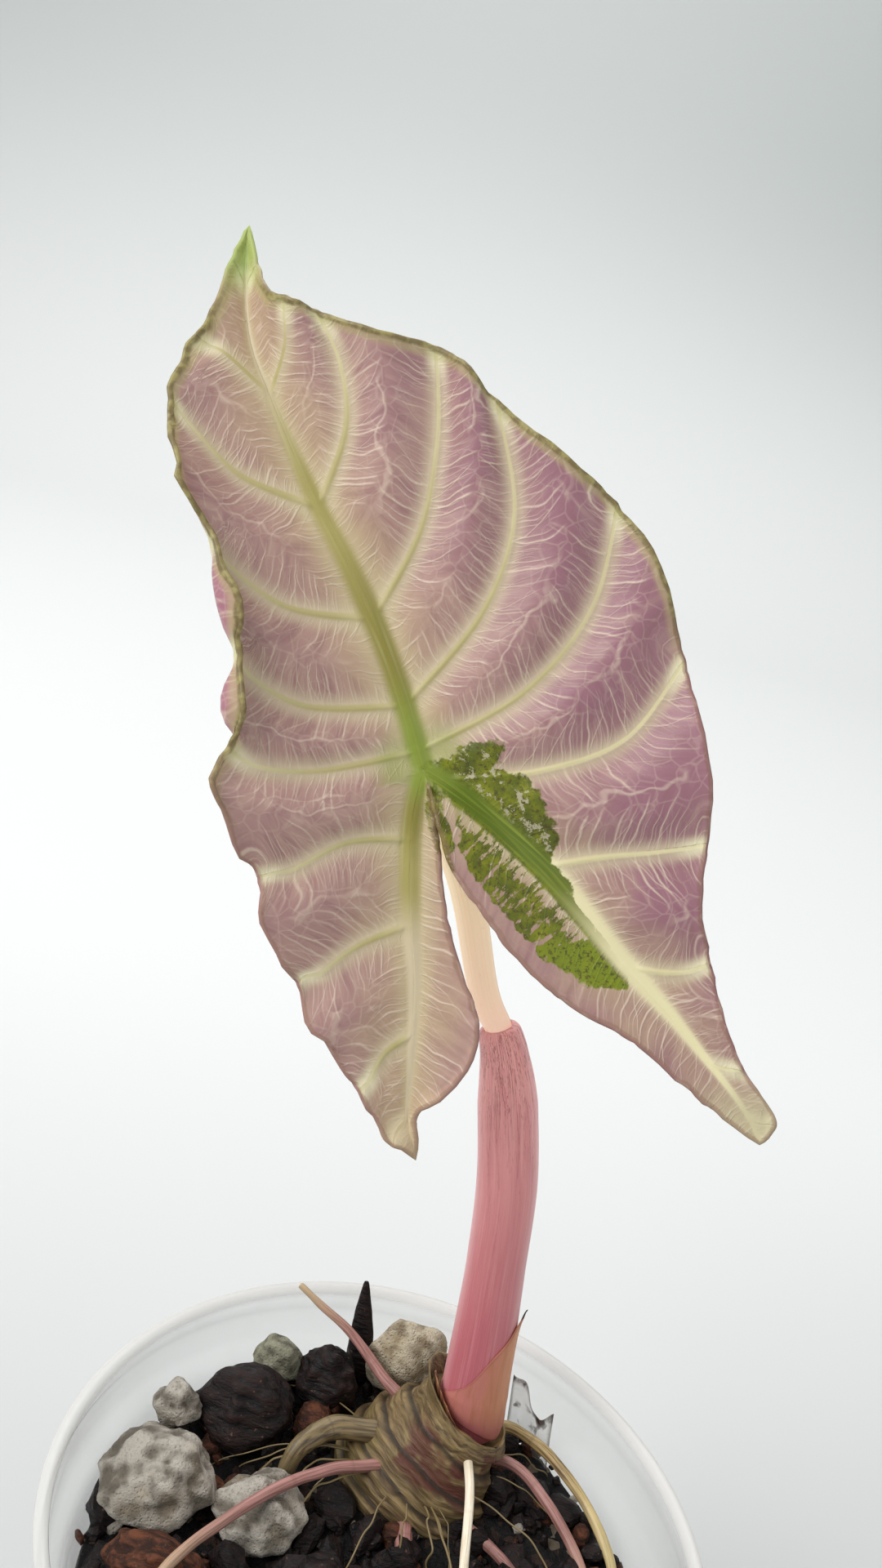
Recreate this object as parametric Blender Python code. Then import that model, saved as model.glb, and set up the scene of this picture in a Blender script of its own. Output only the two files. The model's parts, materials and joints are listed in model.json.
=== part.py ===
"""A pink dragon alocasia: one leaf on its petiole, its sheath, corm and roots, in a clear cup of chunky mix.

Every size below is a real size in millimetres. The origin is the centre of the cup's underside, +Z is up
and -Y is the side that the plant faces. Each piece is one closed solid with a gap of about 0.3 mm to the
pieces round it.
"""
import math
import random

import bmesh
import bpy
import numpy as np
from mathutils import Matrix, Vector, noise

MM = 0.001
GAP = 0.32

# The cup
CUP_HEIGHT = 95.0
RIM_RADIUS = 50.0
BASE_RADIUS = 34.5
WALL = 0.95
FLOOR = 1.3
LEDGE_HEIGHT = 83.5
LEDGE_RADIUS = 46.2
NECK_RADIUS = 48.3
LIP_DROP = 2.2
LIP_ROUND = 0.5
BASE_CHAMFER = 1.6
LEDGE_CHAMFER = 1.0
LEDGE_FALL = 1.2
LEDGE_RISE = 1.4
NECK_FLARE = 0.5
INNER_CHAMFER = 1.2
INNER_CHAMFER_TOP = 0.9
CUP_SEGMENTS = 52

# The growing mix: its top is higher at the back of the cup
MIX_FRONT = 76.5
MIX_RISE = 4.6
MIX_BUMP = 0.9
MIX_SLOPE_FRONT = -12.0
MIX_SLOPE_LENGTH = 50.0
WIDE_LUMP = 6.2
SMALL_LUMP = 2.5
MIX_WALL_HEIGHTS = (28.0, 54.0)
MIX_EDGE_HEIGHT = 72.0
MIX_EDGE_DROP = 1.2
MIX_SEGMENTS = 40
MIX_RINGS = 8

# The corm leans from its buried foot to the crown that the sheath grows from
CORM_FOOT = Vector((1.5, 24.0, 68.0))
CROWN = Vector((11.0, 27.6, 92.0))
CORM_RADIUS = 13.2
CROWN_RADIUS = 7.7
CORM_SHARES = (0.0, 0.10, 0.26, 0.45, 0.62, 0.78, 0.90, 1.0)
CORM_RADII = (5.0, 9.6, 12.6, CORM_RADIUS, 11.9, 9.9, 8.2, CROWN_RADIUS)
SCAR_DEPTH = 0.45
SCAR_RINGS = 6.5
SCAR_WANDER = 0.12
WIDE_SWELLING = 0.5
SMALL_SWELLING = 0.3
CORM_ROWS = 16
CORM_SIDES = 20
SOCKET_RADIUS = 6.1
SOCKET_SHIFT = 0.9
SOCKET_CLEARANCE = 0.85

# The blade lies on a plane that leans back, with its midrib turned to the left
JUNCTION = Vector((-21.4, 24.0, 201.9))
BLADE_RECLINE = math.radians(18.0)
BLADE_LEAN = math.radians(-32.3)
BLADE_HALF = 0.36
BLADE_COLUMNS = 8

# Spines of the blade, (across, along, towards the viewer), from the junction
TIP = (0.0, 78.5, -6.0)
LEFT_TIP = (-18.0, -51.0, -1.0)
RIGHT_TIP = (28.0, -62.0, 3.0)
SINUS = (0.0, -2.0, 1.0)
MIDRIB = [TIP, (-3.0, 70.0, -4.0), (-4.6, 62.0, -2.6), (-4.2, 54.5, -1.6), (-3.6, 47.0, -1.0),
          (-2.6, 38.0, -0.5), (-1.2, 30.0, 0.0), (-0.2, 21.5, 0.0), (0.2, 15.5, 0.0), (0.3, 9.0, 0.0),
          (0.2, 5.5, 0.0), (0.1, 2.6, 0.0), (0.0, 0.0, 0.0)]
LEFT_COSTA = [(0.0, 0.0, 0.0), (-2.6, -4.0, 0.2), (-4.6, -8.5, 0.4), (-6.5, -14.0, 0.8), (-8.0, -19.5, 1.0),
              (-10.0, -27.0, 1.0), (-12.6, -34.0, 1.0), (-15.0, -40.0, 0.5), (-17.0, -45.0, 0.0), LEFT_TIP]
RIGHT_COSTA = [(0.0, 0.0, 0.0), (1.8, -2.0, 0.2), (5.0, -6.2, 0.5), (8.0, -11.0, 0.6), (11.5, -17.5, 1.0),
               (15.0, -25.5, 1.0), (18.2, -34.0, 1.0), (21.8, -42.0, 1.1), (24.8, -50.0, 1.5),
               (26.8, -55.5, 2.2), (27.7, -59.0, 2.6), RIGHT_TIP]

# Cross lines of the blade's left half: middle, near the edge, edge. The odd lines down to the eleventh and
# the even ones after it are primary veins; the others run along the swollen stretches between veins.
LEFT_LINES = [
    (TIP, TIP, TIP),
    ((-3.2, 72.0, -4.0), (-3.4, 73.0, -3.8), (-3.6, 74.0, -3.5)),
    ((-5.8, 66.0, -1.8), (-6.5, 67.5, -1.4), (-7.2, 68.6, -1.0)),
    ((-8.2, 61.5, 0.0), (-9.8, 63.2, 0.5), (-11.2, 64.4, 1.0)),
    ((-10.4, 56.0, 1.5), (-13.8, 58.8, 2.8), (-15.6, 59.8, 3.6)),
    ((-11.2, 45.0, 1.6), (-15.2, 52.6, 3.4), (-17.2, 56.4, 4.6)),
    ((-11.2, 36.5, 3.8), (-16.4, 44.5, 7.2), (-17.6, 47.5, 9.5)),
    ((-10.8, 26.5, 2.8), (-16.8, 35.0, 6.6), (-16.8, 38.4, 8.8)),
    ((-11.0, 19.8, 4.6), (-18.2, 29.6, 9.0), (-15.2, 28.2, 11.8)),
    ((-12.6, 13.2, 3.4), (-18.6, 20.6, 7.8), (-17.6, 23.4, 9.8)),
    ((-13.6, 8.6, 5.2), (-21.8, 15.4, 9.6), (-19.2, 15.8, 12.0)),
    ((-13.0, 4.2, 3.8), (-20.6, 7.4, 7.6), (-22.8, 10.4, 9.6)),
    ((-13.8, 0.4, 5.8), (-24.6, 5.2, 10.6), (-26.6, 6.6, 12.2)),
    ((-13.2, -2.6, 5.4), (-23.4, -0.4, 9.0), (-25.8, 0.2, 10.0)),
    ((-12.6, -6.0, 3.4), (-20.8, -7.0, 5.8), (-25.2, -6.2, 7.2)),
    ((-14.6, -12.2, 4.4), (-22.6, -13.0, 7.0), (-25.6, -12.6, 8.0)),
    ((-15.4, -19.8, 2.4), (-21.8, -21.6, 4.0), (-25.0, -22.4, 4.8)),
    ((-16.2, -27.6, 3.2), (-21.6, -29.4, 4.8), (-24.0, -30.2, 5.4)),
    ((-16.8, -35.0, 1.6), (-19.8, -37.4, 2.4), (-21.8, -38.8, 3.0)),
    ((-17.8, -41.4, 1.2), (-19.6, -43.2, 1.5), (-20.6, -44.4, 1.8)),
    ((-18.4, -46.0, 0.2), (-19.3, -46.8, 0.4), (-19.9, -47.4, 0.6)),
    (LEFT_TIP, LEFT_TIP, LEFT_TIP)]

# Cross lines of the right half. The odd lines down to the thirteenth and then the sixteenth and
# eighteenth are primary veins.
RIGHT_LINES = [
    (TIP, TIP, TIP),
    ((-2.0, 71.0, -3.9), (-1.2, 71.6, -3.6), (-0.5, 72.0, -3.2)),
    ((-2.6, 64.5, -1.8), (-1.2, 66.0, -0.6), (0.0, 67.2, 0.6)),
    ((-0.2, 59.5, 0.4), (1.2, 63.2, 1.8), (1.8, 65.4, 2.6)),
    ((1.8, 54.0, 1.2), (3.4, 60.4, 2.4), (3.6, 64.0, 3.0)),
    ((4.2, 46.5, 1.0), (6.2, 55.0, 1.2), (5.4, 62.4, 1.4)),
    ((7.4, 39.5, 2.8), (11.0, 50.0, 3.2), (12.2, 57.0, 3.6)),
    ((9.4, 30.5, 1.2), (15.6, 42.0, 1.0), (19.0, 53.2, 0.9)),
    ((12.2, 24.2, 3.2), (19.4, 36.5, 3.4), (22.2, 48.6, 3.6)),
    ((14.0, 17.6, 1.8), (22.2, 29.0, 1.5), (24.4, 43.6, 1.5)),
    ((16.0, 12.0, 3.8), (26.6, 21.8, 3.8), (30.8, 33.6, 3.6)),
    ((16.0, 5.8, 2.2), (28.2, 13.8, 1.7), (35.6, 25.6, 1.5)),
    ((16.8, 0.6, 4.0), (29.8, 7.0, 3.9), (38.2, 16.0, 3.6)),
    ((15.2, -4.8, 2.4), (27.4, -4.2, 2.0), (37.6, 3.0, 1.8)),
    ((16.4, -9.4, 3.6), (27.4, -9.6, 4.2), (37.0, -5.4, 4.4)),
    ((17.4, -13.4, 3.6), (27.0, -14.6, 4.4), (35.6, -14.0, 5.0)),
    ((19.0, -18.4, 2.0), (26.4, -20.0, 2.4), (33.0, -21.2, 2.8)),
    ((20.8, -27.2, 3.0), (25.8, -28.4, 3.4), (29.8, -28.6, 3.6)),
    ((22.4, -36.0, 1.3), (25.8, -37.0, 1.4), (28.9, -36.8, 1.6)),
    ((24.8, -43.4, 1.9), (26.8, -44.4, 2.0), (28.2, -45.2, 2.1)),
    ((26.6, -51.2, 1.9), (27.8, -51.8, 2.0), (28.7, -52.2, 2.1)),
    ((28.2, -56.2, 2.4), (29.4, -56.8, 2.6), (30.2, -57.4, 2.6)),
    ((28.8, -59.8, 2.8), (29.7, -60.1, 2.9), (30.4, -60.4, 3.0)),
    (RIGHT_TIP, RIGHT_TIP, RIGHT_TIP)]

# Inner sides of the two lobes: place on the costa, middle, inner edge
LEFT_LOBE = [
    (0.00, (0.0, -1.0, 0.5), SINUS),
    (0.22, (-2.8, -10.0, 1.2), (-1.3, -10.4, 1.8)),
    (0.40, (-5.4, -18.8, 1.8), (-3.2, -19.0, 2.3)),
    (0.55, (-6.9, -27.0, 2.2), (-3.7, -27.6, 2.9)),
    (0.69, (-8.0, -34.6, 2.6), (-3.7, -35.2, 3.9)),
    (0.79, (-10.9, -40.0, 2.0), (-7.6, -40.8, 3.3)),
    (0.88, (-15.4, -44.4, 0.7), (-14.4, -44.7, 1.2)),
    (0.94, (-17.3, -47.8, -0.3), (-16.9, -48.0, -0.2)),
    (1.00, LEFT_TIP, LEFT_TIP)]
RIGHT_LOBE = [
    (0.00, (0.0, -1.0, 0.5), SINUS),
    (0.13, (2.4, -7.4, 1.6), (-0.2, -8.6, 3.0)),
    (0.22, (4.4, -13.0, 2.1), (-0.2, -13.8, 3.5)),
    (0.33, (6.9, -20.0, 2.5), (2.0, -20.4, 4.0)),
    (0.46, (10.0, -28.0, 2.5), (4.6, -28.2, 4.0)),
    (0.60, (14.2, -36.6, 2.0), (9.6, -36.4, 3.5)),
    (0.73, (18.6, -43.6, 2.0), (15.6, -43.2, 3.0)),
    (0.86, (22.8, -51.4, 2.0), (20.6, -51.4, 2.5)),
    (0.94, (25.6, -57.0, 2.2), (24.2, -57.2, 2.4)),
    (1.00, RIGHT_TIP, RIGHT_TIP)]
LEFT_VEINS = (5, 7, 9, 11, 14, 16, 18)
RIGHT_VEINS = (5, 7, 9, 11, 13, 16, 18)
JUNCTION_LINE = 12
RIB_HALF_WIDTH = 1.9
RIB_PROFILE = (1.0, 0.8, 0.0)
RIB_SHOULDER = 0.7
RIB_FOOT = 1.15
SLENDER_STRETCH = 0.8
RIB_TOP = 0.95
RIB_BACK = 1.1
VEIN_SPREAD = 0.09
VEIN_TOP = 0.34
VEIN_BACK = 0.5

# Petiole, sheath and the dry bract round the sheath's foot
SHEATH_PATH = [(12.8, 27.6, 88.8), (12.3, 27.6, 92.6), (11.2, 27.5, 98.0), (9.9, 27.2, 111.3),
               (8.6, 26.8, 123.0), (6.4, 26.0, 138.8), (2.8, 25.2, 153.4), (0.2, 24.8, 161.6),
               (-1.8, 24.8, 165.8)]
SHEATH_WIDTHS = (3.9, 4.8, 5.3, 5.0, 4.7, 4.7, 4.5, 3.6, 3.05)
SHEATH_FLATNESS = 0.84
BORE_PLACE = 6.4
BORE_RADIUS = 2.3
PETIOLE_PATH = [(-5.4, 25.2, 171.0), (-11.1, 27.2, 184.0), (-16.4, 28.6, 192.4), (-20.2, 27.9, 198.4)]
PETIOLE_RADII = (1.9, 1.95, 1.95, 2.0, 2.2, 2.4, 2.4, 2.3)
BRACT_THICKNESS = 0.7
BRACT_CLEARANCE = 0.9
BRACT_START = -205.0
BRACT_TURN = 215.0
BRACT_CURVE = 1.6
BRACT_LOW = 99.0
BRACT_HIGH = 115.5
BRACT_FLARE = 1.0

# Roots: path, thickness at the start and at the end, colour
ROOTS = {
    "root_back_pink": ([(3.0, 30.0, 88.0), (-2.2, 32.5, 89.4), (-7.0, 36.0, 91.6), (-12.4, 38.6, 94.0),
                        (-17.6, 40.2, 96.0), (-20.6, 41.2, 97.4)], 1.3, 0.7, "pink_root"),
    "root_left_pink": ([(1.0, 20.0, 85.0), (-9.0, 14.2, 86.6), (-17.0, 6.4, 87.6), (-25.0, -2.6, 86.4),
                        (-29.6, -10.0, 84.4), (-31.0, -14.0, 75.0)], 1.2, 0.9, "pink_root"),
    "root_left_olive": ([(3.0, 25.0, 86.0), (-8.4, 22.4, 87.4), (-13.2, 18.4, 87.2), (-15.0, 16.4, 84.8),
                         (-15.4, 15.8, 78.0)], 2.1, 1.3, "olive_root"),
    "root_front_cream": ([(12.6, 22.0, 90.0), (13.6, 13.4, 89.4), (14.4, 6.0, 85.6), (15.2, 0.5, 80.0),
                          (15.6, -3.0, 73.0)], 0.75, 0.7, "cream_root"),
    "root_right_pink": ([(12.0, 27.0, 84.0), (20.6, 25.8, 85.8), (27.4, 20.6, 84.6), (33.6, 13.4, 81.6),
                         (36.6, 7.0, 77.4), (37.4, 3.6, 72.6)], 1.15, 1.0, "pink_root"),
    "root_right_yellow": ([(12.0, 30.0, 86.0), (19.6, 31.6, 87.6), (26.2, 28.8, 87.0), (33.0, 23.4, 84.8),
                           (38.4, 15.6, 81.8), (40.6, 9.6, 76.6)], 1.2, 0.95, "yellow_root"),
    "root_low_pink": ([(8.0, 22.0, 79.0), (17.4, 14.2, 80.6), (23.0, 9.8, 80.2), (28.4, 4.6, 77.2),
                       (31.0, 1.6, 73.0)], 1.1, 0.9, "pink_root"),
    "root_short_red": ([(4.0, 22.0, 79.0), (5.4, 10.6, 80.2), (5.6, 6.8, 78.4), (5.8, 4.4, 73.6)],
                       1.5, 1.2, "pink_root")}
ROOT_SIDES = 6
ROOT_STEP = 0.02
ROOT_TIP = 0.55

# Chunks of the mix: centre, half sizes, turn in degrees, seed, lumpiness, material
CHUNKS = {
    "pumice_left": ((-34.0, 9.0, 82.0), (9.0, 8.0, 6.8), 20, 3, 0.16, "pumice"),
    "bark_left": ((-30.4, -5.0, 80.2), (7.2, 4.2, 3.6), -10, 5, 0.12, "brown_bark"),
    "pumice_middle": ((-17.6, 8.2, 81.0), (7.2, 6.4, 5.2), 10, 8, 0.15, "pumice"),
    "pumice_front_left": ((-37.2, -12.4, 79.4), (3.4, 4.0, 3.6), 0, 12, 0.15, "pumice"),
    "pumice_back_left": ((-35.0, 20.6, 85.4), (3.8, 3.5, 4.0), 0, 15, 0.14, "pumice"),
    "bark_back_left": ((-24.6, 24.6, 84.4), (7.0, 6.2, 6.4), 0, 21, 0.12, "dark_bark"),
    "stone_back": ((-20.8, 35.0, 86.0), (4.4, 3.4, 4.2), 0, 23, 0.08, "grey_stone"),
    "bark_back": ((-12.2, 33.8, 85.0), (4.6, 4.6, 6.2), -15, 27, 0.13, "dark_bark"),
    "stone_cream": ((0.6, 40.4, 88.4), (7.0, 4.6, 7.4), 8, 31, 0.08, "pale_stone")}
RULED_CHUNKS = 14
RULED_SEED = 7
RULED_TRIES = 4000
RULED_SIZES = (3.6, 8.2)
RULED_TURNS = (165.0, 385.0)
RULED_DEPTHS = (0.62, 0.8)
RULED_SINK = 0.45
RULED_LUMPINESS = 0.14
ROOT_CLEARANCE = 2.0
ROCK_PLANES = 10
ROCK_CUTS = (0.72, 0.93)
RULED_KINDS = ("pumice", "dark_bark", "pumice", "brown_bark")

# Small woody pieces: a pointed splinter, a stick and the loose skin behind the sheath
SPLINTER_PATH = [(-6.9, 40.6, 81.0), (-7.8, 41.4, 88.0), (-8.8, 42.6, 94.0), (-9.6, 43.6, 99.6)]
SPLINTER_RADII = (2.4, 2.2, 1.5, 0.35)
STICK_PATH = [(-22.6, -13.4, 78.6), (-8.0, -7.6, 79.4), (6.4, -3.4, 79.2)]
STICK_RADII = (1.3, 1.5, 1.2)
SKIN_FOOT = (20.2, 36.0, 81.6)
SKIN_WIDTH = 7.6
SKIN_DEPTH = 4.0
SKIN_HEIGHT = 12.5
SKIN_FALL = 4.0
SKIN_LEAN = 1.5
SKIN_WAVE = 1.2
SKIN_THICKNESS = 0.7

# Colour, roughness and opacity of each material
FINISHES = {
    "clear_cup": ((0.80, 0.84, 0.84), 0.12, 0.35),
    "dark_mix": ((0.030, 0.022, 0.018), 0.90, 1.0),
    "pumice": ((0.50, 0.47, 0.40), 0.95, 1.0),
    "brown_bark": ((0.16, 0.055, 0.022), 0.90, 1.0),
    "dark_bark": ((0.035, 0.014, 0.012), 0.85, 1.0),
    "grey_stone": ((0.30, 0.31, 0.24), 0.90, 1.0),
    "pale_stone": ((0.62, 0.56, 0.43), 0.85, 1.0),
    "corm_skin": ((0.26, 0.21, 0.10), 0.75, 1.0),
    "pink_root": ((0.48, 0.22, 0.21), 0.60, 1.0),
    "olive_root": ((0.22, 0.17, 0.08), 0.70, 1.0),
    "cream_root": ((0.85, 0.75, 0.52), 0.50, 1.0),
    "yellow_root": ((0.52, 0.38, 0.16), 0.60, 1.0),
    "sheath_pink": ((0.58, 0.15, 0.21), 0.50, 1.0),
    "bract_tan": ((0.52, 0.26, 0.13), 0.60, 1.0),
    "petiole_cream": ((0.82, 0.64, 0.44), 0.50, 1.0),
    "blade_pink": ((0.47, 0.30, 0.27), 0.50, 1.0),
    "papery_skin": ((0.60, 0.56, 0.50), 0.40, 1.0)}


def clear_scene():
    """Removes the objects that a new file starts with."""
    for thing in list(bpy.data.objects):
        bpy.data.objects.remove(thing, do_unlink=True)


def finish_material(name):
    """Returns the Principled material of that name, made on its first use."""
    found = bpy.data.materials.get(name)
    if found:
        return found
    colour, roughness, opacity = FINISHES[name]
    made = bpy.data.materials.new(name)
    made.use_nodes = True
    shader = made.node_tree.nodes["Principled BSDF"]
    shader.inputs["Base Color"].default_value = (*colour, 1.0)
    shader.inputs["Roughness"].default_value = roughness
    shader.inputs["Metallic"].default_value = 0.0
    shader.inputs["Alpha"].default_value = opacity
    return made


def add_solid(name, points, faces, finish, collection=None):
    """Makes one object from points in millimetres, with its faces turned outwards."""
    mesh = bpy.data.meshes.new(name)
    mesh.from_pydata([tuple(MM * value for value in point) for point in points], [], faces)
    shape = bmesh.new()
    shape.from_mesh(mesh)
    bmesh.ops.triangulate(shape, faces=shape.faces[:])
    bmesh.ops.recalc_face_normals(shape, faces=shape.faces[:])
    shape.to_mesh(mesh)
    shape.free()
    mesh.shade_smooth()
    mesh.set_sharp_from_angle(angle=math.radians(50.0))
    mesh.materials.append(finish_material(finish))
    made = bpy.data.objects.new(name, mesh)
    (collection or bpy.context.scene.collection).objects.link(made)
    return made


def along(points, place):
    """Point at a place on the smooth curve through the points; place 2.5 is half-way from point 2 to 3."""
    last = len(points) - 1
    step = min(max(int(math.floor(place)), 0), last - 1)
    part = place - step
    before = points[max(step - 1, 0)]
    start = points[step]
    end = points[step + 1]
    after = points[min(step + 2, last)]
    weights = (-0.5 * part + part ** 2 - 0.5 * part ** 3, 1.0 - 2.5 * part ** 2 + 1.5 * part ** 3,
               0.5 * part + 2.0 * part ** 2 - 1.5 * part ** 3, -0.5 * part ** 2 + 0.5 * part ** 3)
    return sum((Vector(point) * weight for point, weight in zip((before, start, end, after), weights)),
               Vector((0.0,) * len(start)))


def ring_frames(path):
    """Two directions across the path at each of its points, carried along it without twisting."""
    forward = [(path[min(i + 1, len(path) - 1)] - path[max(i - 1, 0)]).normalized() for i in range(len(path))]
    side = forward[0].cross(Vector((0.0, 1.0, 0.3))).normalized()
    frames = []
    for direction in forward:
        side = (side - direction * side.dot(direction)).normalized()
        frames.append((side, direction.cross(side)))
    return frames


def loft(rings):
    """Faces between rings with equal counts of points, with a flat cap on the first and on the last."""
    count = len(rings[0])
    points = [point for ring in rings for point in ring]
    faces = [[count * row + k, count * row + (k + 1) % count, count * (row + 1) + (k + 1) % count,
              count * (row + 1) + k] for row in range(len(rings) - 1) for k in range(count)]
    faces.append(list(range(count))[::-1])
    faces.append([count * (len(rings) - 1) + k for k in range(count)])
    return points, faces


def tube_rings(path, radii, sides, flatness=1.0):
    """Rings of a tube round the path: ellipses whose depth is the width times the flatness."""
    rings = []
    for point, radius, (side, depth) in zip(path, radii, ring_frames(path)):
        turns = [math.tau * k / sides for k in range(sides)]
        rings.append([point + side * radius * math.cos(turn) + depth * radius * flatness * math.sin(turn)
                      for turn in turns])
    return rings


def smooth_path(points, steps, first=0.0):
    """Points and their evenly spaced places on the smooth curve, from a first place to its end."""
    places = np.linspace(first, len(points) - 1, steps)
    return [along(points, place) for place in places], places


def spread(values, places):
    """Values given at the points of a path, read at places between them."""
    return [float(np.interp(place, range(len(values)), values)) for place in places]


# The cup
def cup_profile(inset=0.0):
    """Outline of the cup's outside wall, (radius, height), from the base up; the inset moves it inwards."""
    outline = [(BASE_RADIUS - BASE_CHAMFER, 0.0), (BASE_RADIUS, BASE_CHAMFER),
               (LEDGE_RADIUS - LEDGE_CHAMFER, LEDGE_HEIGHT - LEDGE_FALL), (LEDGE_RADIUS, LEDGE_HEIGHT),
               (NECK_RADIUS, LEDGE_HEIGHT + LEDGE_RISE), (NECK_RADIUS + NECK_FLARE, CUP_HEIGHT - LIP_DROP)]
    return [(radius - inset, height) for radius, height in outline]


def make_cup():
    """The clear cup: a plain closed base, a slanted wall, a stacking ledge and a rolled rim."""
    outside = cup_profile()
    lip = [(RIM_RADIUS - 0.6 * LIP_ROUND, CUP_HEIGHT - LIP_DROP), (RIM_RADIUS, CUP_HEIGHT - 0.7 * LIP_DROP),
           (RIM_RADIUS, CUP_HEIGHT - 0.8 * LIP_ROUND), (RIM_RADIUS - LIP_ROUND, CUP_HEIGHT),
           (NECK_RADIUS + 0.2 * LIP_ROUND, CUP_HEIGHT),
           (NECK_RADIUS - 0.8 * LIP_ROUND, CUP_HEIGHT - LIP_ROUND)]
    inside = cup_profile(WALL)[-2:0:-1]
    inside[-1] = (BASE_RADIUS - WALL - 0.1, FLOOR + INNER_CHAMFER_TOP)
    profile = outside + lip + inside + [(BASE_RADIUS - WALL - INNER_CHAMFER, FLOOR)]
    rings = [[Vector((radius * math.cos(turn), radius * math.sin(turn), height))
              for turn in (math.tau * k / CUP_SEGMENTS for k in range(CUP_SEGMENTS))]
             for radius, height in profile]
    add_solid("cup", *loft(rings), "clear_cup")


# The growing mix
def mix_top(x, y):
    """Height of the mix's surface: a slope towards the back and small rounded lumps."""
    slope = min(max((y - MIX_SLOPE_FRONT) / MIX_SLOPE_LENGTH, 0.0), 1.0)
    lumps = noise.noise(Vector((x / WIDE_LUMP, y / WIDE_LUMP, 3.7)))
    lumps += 0.5 * noise.noise(Vector((x / SMALL_LUMP, y / SMALL_LUMP, 8.1)))
    return MIX_FRONT + MIX_RISE * slope * slope * (3.0 - 2.0 * slope) + MIX_BUMP * lumps


def cup_inside(height):
    """Radius of the space inside the cup at a height, a gap clear of its wall."""
    wall = cup_profile(WALL + GAP)[1:]
    return float(np.interp(height, [point[1] for point in wall], [point[0] for point in wall]))


def make_mix(seats):
    """The mix: a body that fills the cup, with a lumpy top and a seat for each thing that stands in it."""
    foot = FLOOR + GAP
    heights = (foot, foot + BASE_CHAMFER, *MIX_WALL_HEIGHTS)
    radii = [BASE_RADIUS - WALL - INNER_CHAMFER - GAP] + [cup_inside(height) for height in heights[1:]]
    radii[1] -= GAP
    turns = [math.tau * k / MIX_SEGMENTS for k in range(MIX_SEGMENTS)]
    rings = [[Vector((radius * math.cos(turn), radius * math.sin(turn), height)) for turn in turns]
             for height, radius in zip(heights, radii)]
    edge = cup_inside(MIX_EDGE_HEIGHT)
    for row in range(MIX_RINGS):
        share = 1.0 - row / MIX_RINGS
        ring = []
        for turn in turns:
            x = edge * share * math.cos(turn)
            y = edge * share * math.sin(turn)
            ring.append(Vector((x, y, mix_top(x, y) - (MIX_EDGE_DROP if row == 0 else 0.0))))
        rings.append(ring)
    mix = add_solid("growing_mix", *loft(rings), "dark_mix")
    cut = mix.modifiers.new("seats", "BOOLEAN")
    cut.operation = "DIFFERENCE"
    cut.solver = "EXACT"
    cut.operand_type = "COLLECTION"
    cut.collection = seats


# The corm
def corm_radius(share, turn):
    """Radius of the corm at a share of the way from its foot to its crown, with the old leaf scars' rings."""
    outline = np.interp(share, CORM_SHARES, CORM_RADII)
    scars = SCAR_DEPTH * math.cos(math.tau * (share * SCAR_RINGS + SCAR_WANDER * math.sin(turn)))
    lumps = WIDE_SWELLING * math.sin(2.0 * turn + 4.0 * share)
    lumps += SMALL_SWELLING * math.sin(5.0 * turn - 7.0 * share)
    fade = min(share / 0.2, 1.0) * min((1.0 - share) / 0.12, 1.0)
    return float(outline) + fade * (scars + lumps)


def corm_axes():
    """Direction of the corm and two directions across it."""
    forward = (CROWN - CORM_FOOT).normalized()
    side = Vector((1.0, 0.0, 0.0))
    side = (side - forward * side.dot(forward)).normalized()
    return forward, side, forward.cross(side)


def corm_clearance(point):
    """Distance from a point to the corm's skin, below zero inside it."""
    forward, side, depth = corm_axes()
    length = (CROWN - CORM_FOOT).length
    offset = point - CORM_FOOT
    height = offset.dot(forward)
    share = min(max(height / length, 0.0), 1.0)
    across = math.hypot(offset.dot(side), offset.dot(depth))
    turn = math.atan2(offset.dot(depth), offset.dot(side))
    over = max(height - length, -height, 0.0)
    return max(across - corm_radius(share, turn), over) if over else across - corm_radius(share, turn)


def corm_rings(extra=0.0):
    """Rings of the corm's outside, each a little larger by the extra."""
    forward, side, depth = corm_axes()
    length = (CROWN - CORM_FOOT).length
    rings = []
    for row in range(CORM_ROWS):
        share = row / (CORM_ROWS - 1)
        centre = CORM_FOOT + forward * (length * share + extra * (2.0 * share - 1.0))
        ring = []
        for k in range(CORM_SIDES):
            turn = math.tau * k / CORM_SIDES
            radius = corm_radius(share, turn) + extra
            ring.append(centre + side * radius * math.cos(turn) + depth * radius * math.sin(turn))
        rings.append(ring)
    return rings


def make_corm(seats):
    """The corm, with a round hollow in its crown for the foot of the sheath."""
    forward, side, depth = corm_axes()
    rings = corm_rings()
    mouth = CROWN + side * SOCKET_SHIFT - forward * 0.3
    hollow = Vector(SHEATH_PATH[0]) - Vector((0.0, 0.0, SOCKET_CLEARANCE))
    level = (Vector((1.0, 0.0, 0.0)), Vector((0.0, 1.0, 0.0)))
    hollow_radius = SHEATH_WIDTHS[0] + 1.5 * GAP
    for centre, radius, (a, b) in ((mouth, SOCKET_RADIUS, (side, depth)), (hollow, hollow_radius, level)):
        turns = [math.tau * k / CORM_SIDES for k in range(CORM_SIDES)]
        rings.append([centre + a * radius * math.cos(turn) + b * radius * math.sin(turn) for turn in turns])
    add_solid("corm", *loft(rings), "corm_skin")
    add_seat(seats, "corm", *loft(corm_rings(GAP)))


def add_seat(seats, name, points, faces):
    """A cutter that leaves the mix a gap clear of what stands in it."""
    seat = add_solid("seat_" + name, points, faces, "dark_mix", seats)
    seat.hide_render = True
    seat.display_type = "WIRE"


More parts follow.
